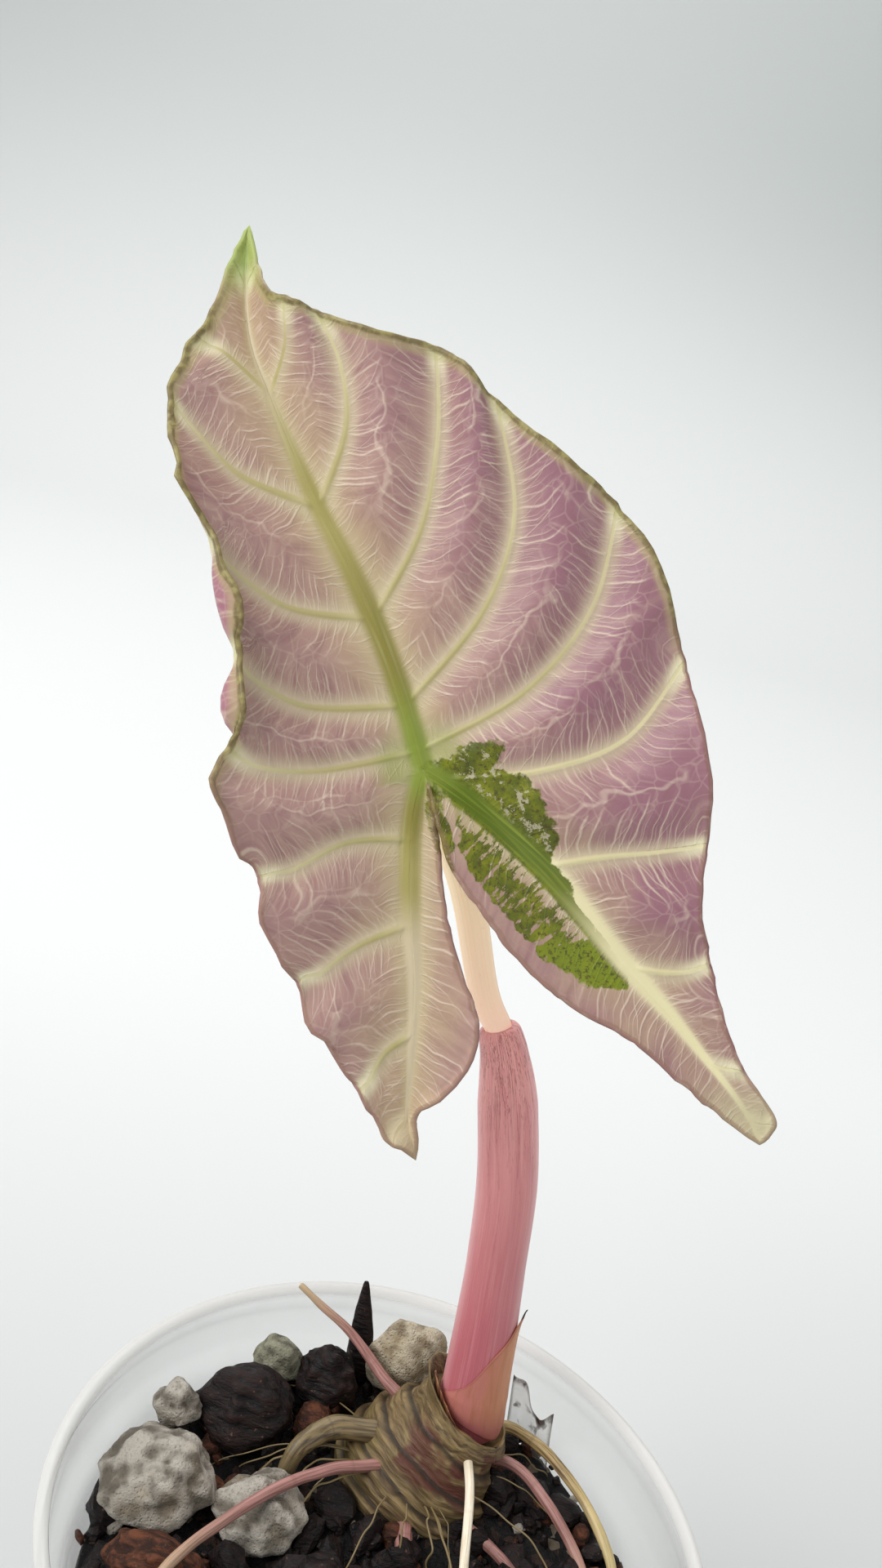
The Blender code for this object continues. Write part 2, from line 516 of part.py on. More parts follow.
# Roots
def make_root(name, seats):
    """One root: a tube that starts at the corm's skin and tapers to its tip."""
    points, start_radius, end_radius, finish = ROOTS[name]
    begin = 0.0
    clear = False
    while not clear:
        begin += ROOT_STEP
        path, _ = smooth_path(points, 3 * len(points), begin)
        first_ring = tube_rings(path, [start_radius] * len(path), ROOT_SIDES)[0]
        clear = min(corm_clearance(point) for point in first_ring) > GAP
    shares = np.linspace(0.0, 1.0, len(path))
    radii = [start_radius + (end_radius - start_radius) * share for share in shares]
    radii[-1] *= ROOT_TIP
    add_solid(name, *loft(tube_rings(path, radii, ROOT_SIDES)), finish)
    if points[-1][2] < mix_top(*points[-1][:2]):
        longer = [path[0] * 2 - path[1]] + path + [path[-1] * 1.3 - path[-2] * 0.3]
        wider = [start_radius + GAP] + [radius + 1.4 * GAP for radius in radii] + [end_radius]
        add_seat(seats, name, *loft(tube_rings(longer, wider, ROOT_SIDES)))


# Chunks of pumice, bark and stone
def rock_points(centre, halves, turn, seed, lumpiness, extra=0.0):
    """Points of a rough block: a ball cut flat by a few planes and made uneven."""
    shape = bmesh.new()
    bmesh.ops.create_icosphere(shape, subdivisions=2, radius=1.0)
    draw = random.Random(seed)
    planes = []
    for _ in range(ROCK_PLANES):
        direction = Vector((draw.uniform(-1, 1), draw.uniform(-1, 1), draw.uniform(-1, 1))).normalized()
        planes.append((direction, draw.uniform(*ROCK_CUTS)))
    turned = Matrix.Rotation(math.radians(turn), 3, "Z")
    points = []
    for vertex in shape.verts:
        place = vertex.co.normalized()
        reach = min([1.0] + [depth / place.dot(direction) for direction, depth in planes
                             if place.dot(direction) > 0.05])
        reach *= 1.0 + lumpiness * noise.noise(place * 2.3 + Vector((seed, 0.0, 0.0)))
        scaled = Vector((place.x * halves[0], place.y * halves[1], place.z * halves[2])) * reach
        points.append(Vector(centre) + turned @ (scaled + place * extra))
    faces = [[vertex.index for vertex in face.verts] for face in shape.faces]
    shape.free()
    return points, faces


def ruled_chunks():
    """Chunks for the half of the surface that the plant leaves open, each clear of those before it."""
    draw = random.Random(RULED_SEED)
    placed = [(Vector(centre[:2]), max(halves[:2])) for centre, halves, *_ in CHUNKS.values()]
    avoid = [Vector(along(ROOTS[name][0], place)[:2]) for name in ROOTS
             for place in np.linspace(1.0, len(ROOTS[name][0]) - 1, 12)]
    stick = [Vector(along(STICK_PATH, place)[:2]) for place in np.linspace(0.0, 2.0, 12)]
    made = {}
    tries = 0
    while len(made) < RULED_CHUNKS and tries < RULED_TRIES:
        tries += 1
        size = draw.uniform(*RULED_SIZES)
        reach = (cup_inside(MIX_FRONT) - size - 1.0) * math.sqrt(draw.random())
        turn = math.radians(draw.uniform(*RULED_TURNS))
        spot = Vector((reach * math.cos(turn), reach * math.sin(turn)))
        if any((spot - other).length < size + radius + GAP for other, radius in placed):
            continue
        if any((spot - point).length < size + ROOT_CLEARANCE for point in avoid + stick):
            continue
        if (spot - Vector(CORM_FOOT[:2])).length < size + CORM_RADIUS + 1.0:
            continue
        placed.append((spot, size))
        depth = draw.uniform(*RULED_DEPTHS) * size
        centre = (spot.x, spot.y, mix_top(spot.x, spot.y) + RULED_SINK * depth)
        kind = RULED_KINDS[len(made) % len(RULED_KINDS)]
        made["chunk_%02d" % (len(made) + 1)] = (centre, (size, 0.84 * size, depth), draw.uniform(0, 180),
                                                draw.randrange(100), RULED_LUMPINESS, kind)
    return made


def make_chunk(name, chunk, seats):
    """One chunk and the seat that it presses into the mix."""
    centre, halves, turn, seed, lumpiness, finish = chunk
    add_solid(name, *rock_points(centre, halves, turn, seed, lumpiness), finish)
    add_seat(seats, name, *rock_points(centre, halves, turn, seed, lumpiness, 1.4 * GAP))


def make_woody_tube(name, path_points, path_radii, finish, seats, steps=9, sides=7):
    """A splinter or a stick: a tapered tube, with its seat in the mix."""
    path, places = smooth_path(path_points, steps)
    radii = spread(path_radii, places)
    add_solid(name, *loft(tube_rings(path, radii, sides, 0.6)), finish)
    add_seat(seats, name, *loft(tube_rings(path, [radius + 1.5 * GAP for radius in radii], sides, 0.75)))


# Petiole and sheath
def petiole_points():
    """The petiole's route: up the sheath's bore and on to the back of the blade's junction."""
    inside = [along(SHEATH_PATH, place) for place in (BORE_PLACE + 0.1, 7.0, 7.6, 8.0)]
    _, _, out = blade_axes()
    end = JUNCTION - out * (BLADE_HALF + RIB_BACK + 1.2 * GAP)
    return [*inside, *PETIOLE_PATH, end]


def make_petiole():
    """The petiole: a round stalk whose last ring lies flat against the back of the blade."""
    points = petiole_points()
    path, places = smooth_path(points, 20)
    radii = spread(PETIOLE_RADII, places)
    rings = tube_rings(path, radii, 10)
    _, _, out = blade_axes()
    heading = (path[-1] - path[-2]).normalized()
    rings[-1] = [point - heading * ((point - path[-1]).dot(out) / heading.dot(out)) for point in rings[-1]]
    add_solid("petiole", *loft(rings), "petiole_cream")


def sheath_at(place):
    """Centre and half width of the sheath at a place on its path."""
    return along(SHEATH_PATH, place), spread(SHEATH_WIDTHS, [place])[0]


def make_sheath():
    """The sheath: a flattened tube that stands in the crown, with a bore at its top for the petiole."""
    path, places = smooth_path(SHEATH_PATH, 17)
    rings = tube_rings(path, [sheath_at(place)[1] for place in places], 14, SHEATH_FLATNESS)
    bore_path = [along(SHEATH_PATH, place) for place in np.linspace(BORE_PLACE, len(SHEATH_PATH) - 1, 5)]
    bore = tube_rings(bore_path, [BORE_RADIUS] * 5, 14)[::-1]
    add_solid("sheath", *loft(rings + bore), "sheath_pink")


def make_bract():
    """The dry bract: a thin shell round the sheath's foot that rises to a point on its right side."""
    rows = 6
    columns = 13
    outer = []
    inner = []
    heights = [point[2] for point in SHEATH_PATH]
    crown_slope = (CROWN.x - CORM_FOOT.x) / (CROWN.z - CORM_FOOT.z)
    for column in range(columns):
        share = column / (columns - 1)
        turn = math.radians(BRACT_START + BRACT_TURN * share)
        top = BRACT_LOW + (BRACT_HIGH - BRACT_LOW) * share ** BRACT_CURVE
        foot = CROWN.z + BRACT_CLEARANCE - CROWN_RADIUS * math.cos(turn) * crown_slope
        for row in range(rows):
            rise = row / (rows - 1)
            height = foot + (top - foot) * rise
            centre, radius = sheath_at(float(np.interp(height, heights, range(len(heights)))))
            gap = 1.3 * GAP + BRACT_FLARE * (1.0 - share) * rise
            outward = Vector((math.cos(turn), math.sin(turn) * SHEATH_FLATNESS, 0.0))
            inner.append(centre + outward * (radius + gap))
            outer.append(centre + outward * (radius + gap + BRACT_THICKNESS))
    add_solid("bract", *sheet_solid(outer, inner, columns, rows), "bract_tan")


def sheet_solid(front, back, columns, rows):
    """A closed plate between two grids of points that match, with triangles alike on both."""
    triangles = []
    for column in range(columns - 1):
        for row in range(rows - 1):
            a = column * rows + row
            triangles += [(a, a + rows, a + rows + 1), (a, a + rows + 1, a + 1)]
    return plate_faces(front, back, triangles)


def plate_faces(front, back, triangles):
    """Faces of a plate: the front, the back turned round, and a band along every open edge."""
    count = len(front)
    sides = {}
    for triangle in triangles:
        for k in range(3):
            edge = (triangle[k], triangle[(k + 1) % 3])
            if edge[::-1] in sides:
                del sides[edge[::-1]]
            else:
                sides[edge] = True
    faces = [list(triangle) for triangle in triangles]
    faces += [[count + k for k in triangle[::-1]] for triangle in triangles]
    for a, b in sides:
        faces += [[b, a, count + a], [b, count + a, count + b]]
    return list(front) + list(back), faces


# The blade
def blade_axes():
    """Directions of the blade: across it, along its midrib, and out of its face."""
    out = Vector((0.0, -math.cos(BLADE_RECLINE), math.sin(BLADE_RECLINE)))
    level = Vector((1.0, 0.0, 0.0))
    rise = Vector((0.0, math.sin(BLADE_RECLINE), math.cos(BLADE_RECLINE)))
    across = level * math.cos(BLADE_LEAN) - rise * math.sin(BLADE_LEAN)
    lengthwise = level * math.sin(BLADE_LEAN) + rise * math.cos(BLADE_LEAN)
    return across, lengthwise, out


def spine_point(place, costa):
    """Point of a spine: the midrib down to the junction line and the costa of one lobe after it."""
    if place <= JUNCTION_LINE:
        return along(MIDRIB, place)
    return along(costa, place - JUNCTION_LINE)


def stations(lines, veins):
    """Places of the cross lines that the mesh follows: close round each vein, wider between veins."""
    places = []
    for line in range(len(lines)):
        places.append(float(line))
        if line in veins:
            places += [line - VEIN_SPREAD, line + VEIN_SPREAD]
        if line + 1 < len(lines):
            places.append(line + 0.5)
    return sorted(places)


def rib_width(spine_share):
    """Half width of the spine's rib: widest at the junction and slender towards a tip."""
    return RIB_HALF_WIDTH * (1.0 - 0.85 * spine_share)


class Blade:
    """The blade's middle surface, gathered patch by patch into one mesh with shared points."""

    def __init__(self):
        self.points = []
        self.relief = []
        self.index = {}
        self.triangles = []

    def point(self, place, top, back):
        """Index of a point, made on its first use, with the heights of its ridges."""
        key = tuple(round(value, 4) for value in place)
        if key not in self.index:
            self.index[key] = len(self.points)
            self.points.append(Vector(place))
            self.relief.append([top, back])
        number = self.index[key]
        self.relief[number][0] = max(self.relief[number][0], top)
        self.relief[number][1] = max(self.relief[number][1], back)
        return number

    def patch(self, rows, flip):
        """Triangles between rows of point indices; the diagonal swaps sides with the flip."""
        for upper, lower in zip(rows, rows[1:]):
            for k in range(len(upper) - 1):
                quad = (upper[k], lower[k], lower[k + 1], upper[k + 1])
                for corners in ((quad[0], quad[1], quad[2]), (quad[0], quad[2], quad[3])):
                    if len(set(corners)) == 3:
                        self.triangles.append(corners[::-1] if flip else corners)

    def solid(self):
        """Front and back points, each moved off the middle surface along its normal."""
        normals = [Vector((0.0, 0.0, 0.0)) for _ in self.points]
        for a, b, c in self.triangles:
            normal = (self.points[b] - self.points[a]).cross(self.points[c] - self.points[a])
            for k in (a, b, c):
                normals[k] += normal
        front = []
        back = []
        for point, normal, (top, under) in zip(self.points, normals, self.relief):
            normal.normalize()
            front.append(point + normal * (BLADE_HALF + top))
            back.append(point - normal * (BLADE_HALF + under))
        return plate_faces(front, back, self.triangles)


def half_rows(blade, lines, veins, costa, columns):
    """Rows of points across one half of the blade, from its spine to its outer edge."""
    rows = []
    for place in stations(lines, veins):
        start = spine_point(place, costa)
        controls = [start] + [along([line[k] for line in lines], place) for k in range(3)]
        length = sum((b - a).length for a, b in zip(controls, controls[1:]))
        tip_share = min(place, len(lines) - 1 - place) / (JUNCTION_LINE * SLENDER_STRETCH)
        slender = 1.0 - min(tip_share, 1.0)
        width = min(rib_width(slender) / max(length, 0.01), 0.35)
        foot = RIB_FOOT * width
        shares = [0.0, RIB_SHOULDER * width, foot]
        shares += [foot + (1.0 - foot) * k / (columns - 3) for k in range(1, columns - 2)]
        vein = 1.0 if any(abs(place - line) < 0.01 for line in veins) else 0.0
        row = []
        for k, share in enumerate(shares):
            rib = RIB_PROFILE[k] if k < len(RIB_PROFILE) else 0.0
            rib *= 1.0 - 0.7 * slender
            fade = vein * (1.0 - share)
            top = max(RIB_TOP * rib, VEIN_TOP * fade)
            back = max(RIB_BACK * rib, VEIN_BACK * fade)
            row.append(blade.point(along(controls, 3.0 * share), top, back))
        rows.append(row)
    return rows


def lobe_rows(blade, lines, veins, costa, lobe):
    """Rows of points across a lobe's inner side, from its costa to the edge by the sinus."""
    marks = [mark for mark, _, _ in lobe]
    rows = []
    for place in stations(lines, veins):
        if place < JUNCTION_LINE:
            continue
        start = spine_point(place, costa)
        reach = (place - JUNCTION_LINE) / (len(lines) - 1 - JUNCTION_LINE)
        spot = float(np.interp(reach, marks, range(len(marks))))
        controls = [start, along([line[1] for line in lobe], spot), along([line[2] for line in lobe], spot)]
        slender = 1.0 - min((len(lines) - 1 - place) / (JUNCTION_LINE * SLENDER_STRETCH), 1.0)
        length = (controls[1] - controls[0]).length + (controls[2] - controls[1]).length
        width = min(rib_width(slender) / max(length, 0.01), 0.45)
        row = []
        for share in (0.0, 0.8 * width, 1.2 * width, 0.5 + 0.6 * width, 1.0):
            rib = (1.0 if share == 0.0 else 0.7 if share < width else 0.0) * (1.0 - 0.8 * slender)
            row.append(blade.point(along(controls, 2.0 * share), RIB_TOP * rib, RIB_BACK * rib))
        rows.append(row)
    return rows


def make_blade():
    """The blade: four patches that share the midrib and the two costae, with ribs raised on both faces."""
    blade = Blade()
    blade.patch(half_rows(blade, LEFT_LINES, LEFT_VEINS, LEFT_COSTA, BLADE_COLUMNS), True)
    blade.patch(half_rows(blade, RIGHT_LINES, RIGHT_VEINS, RIGHT_COSTA, BLADE_COLUMNS), False)
    blade.patch(lobe_rows(blade, LEFT_LINES, LEFT_VEINS, LEFT_COSTA, LEFT_LOBE), False)
    blade.patch(lobe_rows(blade, RIGHT_LINES, RIGHT_VEINS, RIGHT_COSTA, RIGHT_LOBE), True)
    points, faces = blade.solid()
    across, lengthwise, out = blade_axes()
    placed = [JUNCTION + across * point.x + lengthwise * point.y + out * point.z for point in points]
    add_solid("leaf_blade", placed, faces, "blade_pink")


def papery_skin_grids():
    """Front and back of a loose scrap of old leaf base behind the sheath, thin and creased."""
    front = []
    back = []
    rows = 6
    columns = 7
    for column in range(columns):
        share = column / (columns - 1)
        for row in range(rows):
            rise = row / (rows - 1)
            x = SKIN_FOOT[0] + SKIN_WIDTH * share - SKIN_LEAN * rise
            y = SKIN_FOOT[1] - SKIN_DEPTH * share + SKIN_WAVE * math.sin(5.0 * share + 2.0 * rise)
            z = SKIN_FOOT[2] + (SKIN_HEIGHT - SKIN_FALL * share) * rise
            front.append(Vector((x, y, z)))
            back.append(Vector((x, y + SKIN_THICKNESS, z)))
    return front, back, columns, rows


def main():
    clear_scene()
    seats = bpy.data.collections.new("seats")
    bpy.context.scene.collection.children.link(seats)
    make_cup()
    make_corm(seats)
    for name in ROOTS:
        make_root(name, seats)
    chunks = {**CHUNKS, **ruled_chunks()}
    for name, chunk in chunks.items():
        make_chunk(name, chunk, seats)
    make_woody_tube("splinter", SPLINTER_PATH, SPLINTER_RADII, "dark_bark", seats)
    make_woody_tube("stick", STICK_PATH, STICK_RADII, "brown_bark", seats)
    skin = sheet_solid(*papery_skin_grids())
    add_solid("papery_skin", *skin, "papery_skin")
    add_seat(seats, "papery_skin", *skin)
    make_mix(seats)
    make_sheath()
    make_bract()
    make_petiole()
    make_blade()


main()
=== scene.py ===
# %% [markdown]
# # A pink dragon alocasia in its clear cup
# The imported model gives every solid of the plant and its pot. This lesson dresses each of them: a piece is
# worked out again as a fine surface in the same place, and gets a material made of nodes. The plant and its
# pot are measured in millimetres, the camera, the floor and the lamps in metres.

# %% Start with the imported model
import json
import math
import random
from functools import partialmethod
from types import SimpleNamespace

import bmesh
import bpy
import numpy as np
from mathutils import Matrix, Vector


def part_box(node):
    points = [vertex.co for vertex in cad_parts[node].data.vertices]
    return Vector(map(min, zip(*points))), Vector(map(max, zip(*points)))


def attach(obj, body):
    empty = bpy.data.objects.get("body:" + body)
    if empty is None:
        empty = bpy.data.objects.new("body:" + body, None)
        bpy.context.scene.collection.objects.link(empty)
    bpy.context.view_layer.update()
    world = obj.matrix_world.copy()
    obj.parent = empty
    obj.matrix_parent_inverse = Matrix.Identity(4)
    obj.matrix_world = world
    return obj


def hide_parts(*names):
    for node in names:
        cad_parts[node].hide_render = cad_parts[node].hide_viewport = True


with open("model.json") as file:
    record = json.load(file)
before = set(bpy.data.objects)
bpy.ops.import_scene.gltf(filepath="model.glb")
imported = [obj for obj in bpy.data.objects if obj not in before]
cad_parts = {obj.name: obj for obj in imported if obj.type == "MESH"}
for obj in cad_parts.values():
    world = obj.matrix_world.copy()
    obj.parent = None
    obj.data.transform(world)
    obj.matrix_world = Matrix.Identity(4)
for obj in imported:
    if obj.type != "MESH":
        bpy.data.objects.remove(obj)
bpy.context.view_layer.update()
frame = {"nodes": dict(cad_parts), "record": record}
MM = 0.001
print("CAD nodes:", len(frame["nodes"]))

# %% [markdown]
# ## Camera, floor and light
# The view looks down a little and leans to one side, so the plant seems to lean to the left. The camera is
# built from its tilt and its roll. The floor is one pale sheet that bends up behind the plant, so no line
# shows where it ends. A wide lamp on the left, a weaker one on the right and a pale sky give soft shadows.

# %% Camera
scene = bpy.context.scene
CAMERA_PLACE = (-0.01863, -0.16325, 0.27326)
CAMERA_TILT = math.radians(21.22)
CAMERA_ROLL = math.radians(14.41)
LENS = 33.75


def turned_axes(tilt, roll):
    """Right, up and back directions of a camera that looks along +Y, tilts down and then rolls."""
    up = np.array((0.0, math.sin(tilt), math.cos(tilt)))
    right = np.array((1.0, 0.0, 0.0))
    back = np.cross(right, up)
    return right * math.cos(roll) + up * math.sin(roll), up * math.cos(roll) - right * math.sin(roll), back


camera_data = bpy.data.cameras.new("camera")
camera_data.lens = LENS
camera_data.sensor_width = 36.0
camera = bpy.data.objects.new("camera", camera_data)
scene.collection.objects.link(camera)
placing = np.eye(4)
placing[:3, :3] = np.array(turned_axes(CAMERA_TILT, CAMERA_ROLL)).T
placing[:3, 3] = CAMERA_PLACE
camera.matrix_world = Matrix(placing.tolist())
scene.camera = camera
scene.view_settings.view_transform = "Standard"
print("camera looks down", round(math.degrees(CAMERA_TILT), 1), "degrees")

# %% [markdown]
# ## Tools for numbers
# A smooth curve goes through a few points, and most shapes here are such curves, in one or in two
# directions. The noise is made from whole numbers that are scrambled, so it is the same on every run.

# %% Smooth curves


def smooth_rows(controls, places):
    """Catmull-Rom curves, one for each row of control points; place 2.5 is midway from point 2 to 3."""
    last = controls.shape[1] - 1
    step = np.clip(np.floor(places).astype(int), 0, last - 1)
    part = (places - step)[..., None]
    row = np.arange(controls.shape[0])[:, None]
    before = controls[row, np.maximum(step - 1, 0)]
    start = controls[row, step]
    end = controls[row, step + 1]
    after = controls[row, np.minimum(step + 2, last)]
    return (before * (-0.5 * part + part ** 2 - 0.5 * part ** 3)
            + start * (1 - 2.5 * part ** 2 + 1.5 * part ** 3)
            + end * (0.5 * part + 2 * part ** 2 - 1.5 * part ** 3)
            + after * (-0.5 * part ** 2 + 0.5 * part ** 3))


def smooth_curve(points, places):
    """One Catmull-Rom curve through the points, read at many places."""
    return smooth_rows(np.array(points, float)[None], np.asarray(places, float)[None])[0]


def straight(values, places):
    """Values read at places between whole numbers, along straight lines."""
    return np.interp(places, range(len(values)), values)


def xyz(x, y, z):
    """Points or vectors from their three coordinates; a plain number is repeated for all of them."""
    return np.stack(np.broadcast_arrays(x, y, z), axis=-1)


def unit(vectors):
    """Vectors divided by their own lengths."""
    return vectors / np.maximum(np.linalg.norm(vectors, axis=-1, keepdims=True), 1e-12)


def ease(values, low, high):
    """0 below low, 1 above high and a soft S between them."""
    share = np.clip((values - low) / (high - low), 0.0, 1.0)
    return share * share * (3.0 - 2.0 * share)


# %% Repeatable noise


def scramble(cells, seed):
    """A number from 0 to 1 for each cell: its three numbers and the seed, multiplied and mixed."""
    mixed = seed * 2654435761
    for k, prime in enumerate((73856093, 19349663, 83492791)):
        mixed = mixed ^ (cells[..., k] * prime)
    mixed = (mixed ^ (mixed >> 13)) * 1274126177 & 0xFFFFFFFF
    mixed = (mixed ^ (mixed >> 15)) * 2246822519 & 0xFFFFFFFF
    return ((mixed >> 8) & 0xFFFF) / 65535.0


def soft_noise(points, seed=0):
    """Gradient noise from about -1 to 1: slopes at the eight corners of a cell, blended smoothly."""
    base = np.floor(points).astype(np.int64)
    inside = points - base
    weight = inside ** 3 * (inside * (inside * 6 - 15) + 10)
    total = np.zeros(points.shape[:-1])
    for corner in np.ndindex(2, 2, 2):
        offset = np.array(corner)
        slope = np.stack([scramble(base + offset, seed + 11 * k) for k in range(3)], axis=-1) * 2 - 1
        share = np.prod(np.where(offset == 1, weight, 1 - weight), axis=-1)
        total += share * np.sum(slope * (inside - offset), axis=-1)
    return total * 1.4


def rough_noise(points, octaves, seed=0):
    """Sum of noises, each twice as fine and half as strong as the one before."""
    return sum(soft_noise(points * 2 ** k, seed + 101 * k) * 0.5 ** k for k in range(octaves))


def cell_distance(points, seed=0):
    """Distance to the nearest of the random points that are scattered one to a cell."""
    base = np.floor(points).astype(np.int64)
    nearest = np.full(points.shape[:-1], 9.0)
    for corner in np.ndindex(3, 3, 3):
        cell = base + np.array(corner) - 1
        spot = cell + np.stack([scramble(cell, seed + 7 * k) for k in range(3)], axis=-1)
        nearest = np.minimum(nearest, np.linalg.norm(points - spot, axis=-1))
    return nearest


print("noise sample:", round(float(soft_noise(np.array([[0.3, 1.7, 2.2]]))[0]), 3))

# %% [markdown]
# ## Tools for meshes
# Every piece is a set of points and of faces with three or four corners. Tubes and turned shapes are grids
# whose last column meets the first, and each end is closed by a fan of triangles round a middle point.

# %% Meshes


def grid_faces(rows, columns, wrap=False):
    """Faces of a grid of points stored row after row; wrap joins the last column to the first."""
    across = columns if wrap else columns - 1
    row, column = np.meshgrid(np.arange(rows - 1), np.arange(across), indexing="ij")
    right = (column + 1) % columns
    return np.stack([row * columns + column, row * columns + right, (row + 1) * columns + right,
                     (row + 1) * columns + column], axis=-1).reshape(-1, 4)


def closed_rings(rings):
    """Points and faces of a closed skin over rings of points, with a middle point in each end."""
    rows, columns = rings.shape[:2]
    points = np.concatenate([rings.reshape(-1, 3), rings[:1].mean(axis=1), rings[-1:].mean(axis=1)])
    column = np.arange(columns)
    after = (column + 1) % columns
    first = rows * columns
    top = (rows - 1) * columns
    return points, [grid_faces(rows, columns, True), xyz(after, column, first),
                    xyz(top + column, top + after, first + 1)]


def thin_sheet(front, back):
    """Points and faces of a plate between two grids: both faces and a band round the open edge."""
    rows, columns = front.shape[:2]
    count = rows * columns
    points = np.concatenate([front.reshape(-1, 3), back.reshape(-1, 3)])
    faces = grid_faces(rows, columns)
    numbers = np.arange(count).reshape(rows, columns)
    edge = np.concatenate([numbers[0, :-1], numbers[:-1, -1], numbers[-1, :0:-1], numbers[:0:-1, 0]])
    following = np.roll(edge, -1)
    band = np.stack([following, edge, edge + count, following + count], axis=-1)
    return points, [faces, faces[:, ::-1] + count, band]


def add_piece(name, points, faces, finish, slot, nodes=(), values=None, corners=None):
    """Makes a mesh piece that rides on the part, replaces CAD nodes and carries values for its material."""
    mesh = bpy.data.meshes.new(name)
    mesh.vertices.add(len(points))
    mesh.vertices.foreach_set("co", (np.asarray(points) * MM).astype(np.float32).ravel())
    sizes = np.concatenate([np.full(len(part), part.shape[1]) for part in faces])
    mesh.loops.add(int(sizes.sum()))
    mesh.loops.foreach_set("vertex_index", np.concatenate([part.ravel() for part in faces]).astype(np.int32))
    mesh.polygons.add(len(sizes))
    mesh.polygons.foreach_set("loop_start", (np.cumsum(sizes) - sizes).astype(np.int32))
    mesh.update(calc_edges=True)
    mesh.shade_smooth()
    for domain, arrays in (("POINT", values), ("CORNER", corners)):
        for label, array in (arrays or {}).items():
            target = mesh.attributes.new(label, "FLOAT_VECTOR", domain).data
            target.foreach_set("vector", array.astype(np.float32).ravel())
    mesh.validate()
    mesh.materials.append(finish)
    piece = bpy.data.objects.new(name, mesh)
    scene.collection.objects.link(piece)
    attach(piece, "root")
    if nodes:
        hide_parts(*nodes)
    print(name, "has", len(sizes), "faces")
    return piece


def add_sheet(name, front, back, values, label, finish, slot, nodes=()):
    """Adds a thin sheet whose two faces carry the same values."""
    both = np.tile(values.reshape(-1, 3), (2, 1))
    add_piece(name, *thin_sheet(front, back), finish, slot, nodes, {label: both})


def ring_frames(path):
    """Two directions across a path, carried along it without twisting."""
    forward = unit(np.gradient(path, axis=0))
    side = unit(np.cross(forward[0], (0.0, 1.0, 0.3)))
    sides = []
    for direction in forward:
        side = unit(side - direction * np.dot(side, direction))
        sides.append(side)
    sides = np.array(sides)
    return sides, np.cross(forward, sides)


def circles(side, depth, turns):
    """Directions round a circle: side times the cosine plus depth times the sine of each turn."""
    return side * np.cos(turns)[..., None] + depth * np.sin(turns)[..., None]


def tube(path, radii, turns, flatness=1.0):
    """Rings round a path, each a circle times the radius at its points; flatness below 1 makes them oval."""
    side, depth = ring_frames(path)
    return path[:, None] + circles(side[:, None], depth[:, None] * flatness, turns) * radii[..., None]


def around(count):
    """Equal turns of a full circle."""
    return np.arange(count) * math.tau / count


# %% [markdown]
# ## Tools for materials
# A material is a net of nodes. The first class wraps one socket of that net, so a formula can be written as
# Python sums and products, and each adds a Math node. A number can also step softly between two values or
# blend two colours, and a colour can take a layer of another one.

# %% Materials


class Signal:
    """A number, a vector or a colour inside a material; arithmetic on it adds Math nodes."""

    def __init__(self, finish, socket):
        self.finish = finish
        self.socket = socket

    def math(self, operation, *others):
        return self.finish.node("Math", {"operation": operation}, dict(enumerate((self, *others))))

    __add__ = __radd__ = partialmethod(math, "ADD")
    __sub__ = partialmethod(math, "SUBTRACT")
    __mul__ = __rmul__ = partialmethod(math, "MULTIPLY")
    __truediv__ = partialmethod(math, "DIVIDE")
    __pow__ = partialmethod(math, "POWER")
    __abs__ = partialmethod(math, "ABSOLUTE")

    def __rsub__(self, other):
        return self.finish.node("Math", {"operation": "SUBTRACT"}, {0: other, 1: self})

    def capped(self, limit=1.0):
        return self.math("MINIMUM", limit)

    def step(self, low, high, start=0.0, end=1.0):
        """From start to end as this number goes from low to high, as a soft S."""
        return self.finish.node("MapRange", {"interpolation_type": "SMOOTHSTEP"},
                                {0: self, 1: low, 2: high, 3: start, 4: end})

    def blend(self, first, second):
        """A colour between two colours, as this number goes from 0 to 1."""
        first, second = (tint if isinstance(tint, Signal) else colour(*tint) for tint in (first, second))
        return self.finish.node("Mix", {"data_type": "RGBA"}, {0: self, 6: first, 7: second}, 2)

    def layer(self, share, tint):
        """This colour with a share of another one over it."""
        return share.blend(self, tint)


def colour(red, green, blue):
    """A colour as it looks on a screen, from 0 to 255, turned into the linear light that nodes use."""
    share = np.array((red, green, blue)) / 255.0
    linear = np.where(share <= 0.04045, share / 12.92, ((share + 0.055) / 1.055) ** 2.4)
    return (*[float(value) for value in linear], 1.0)


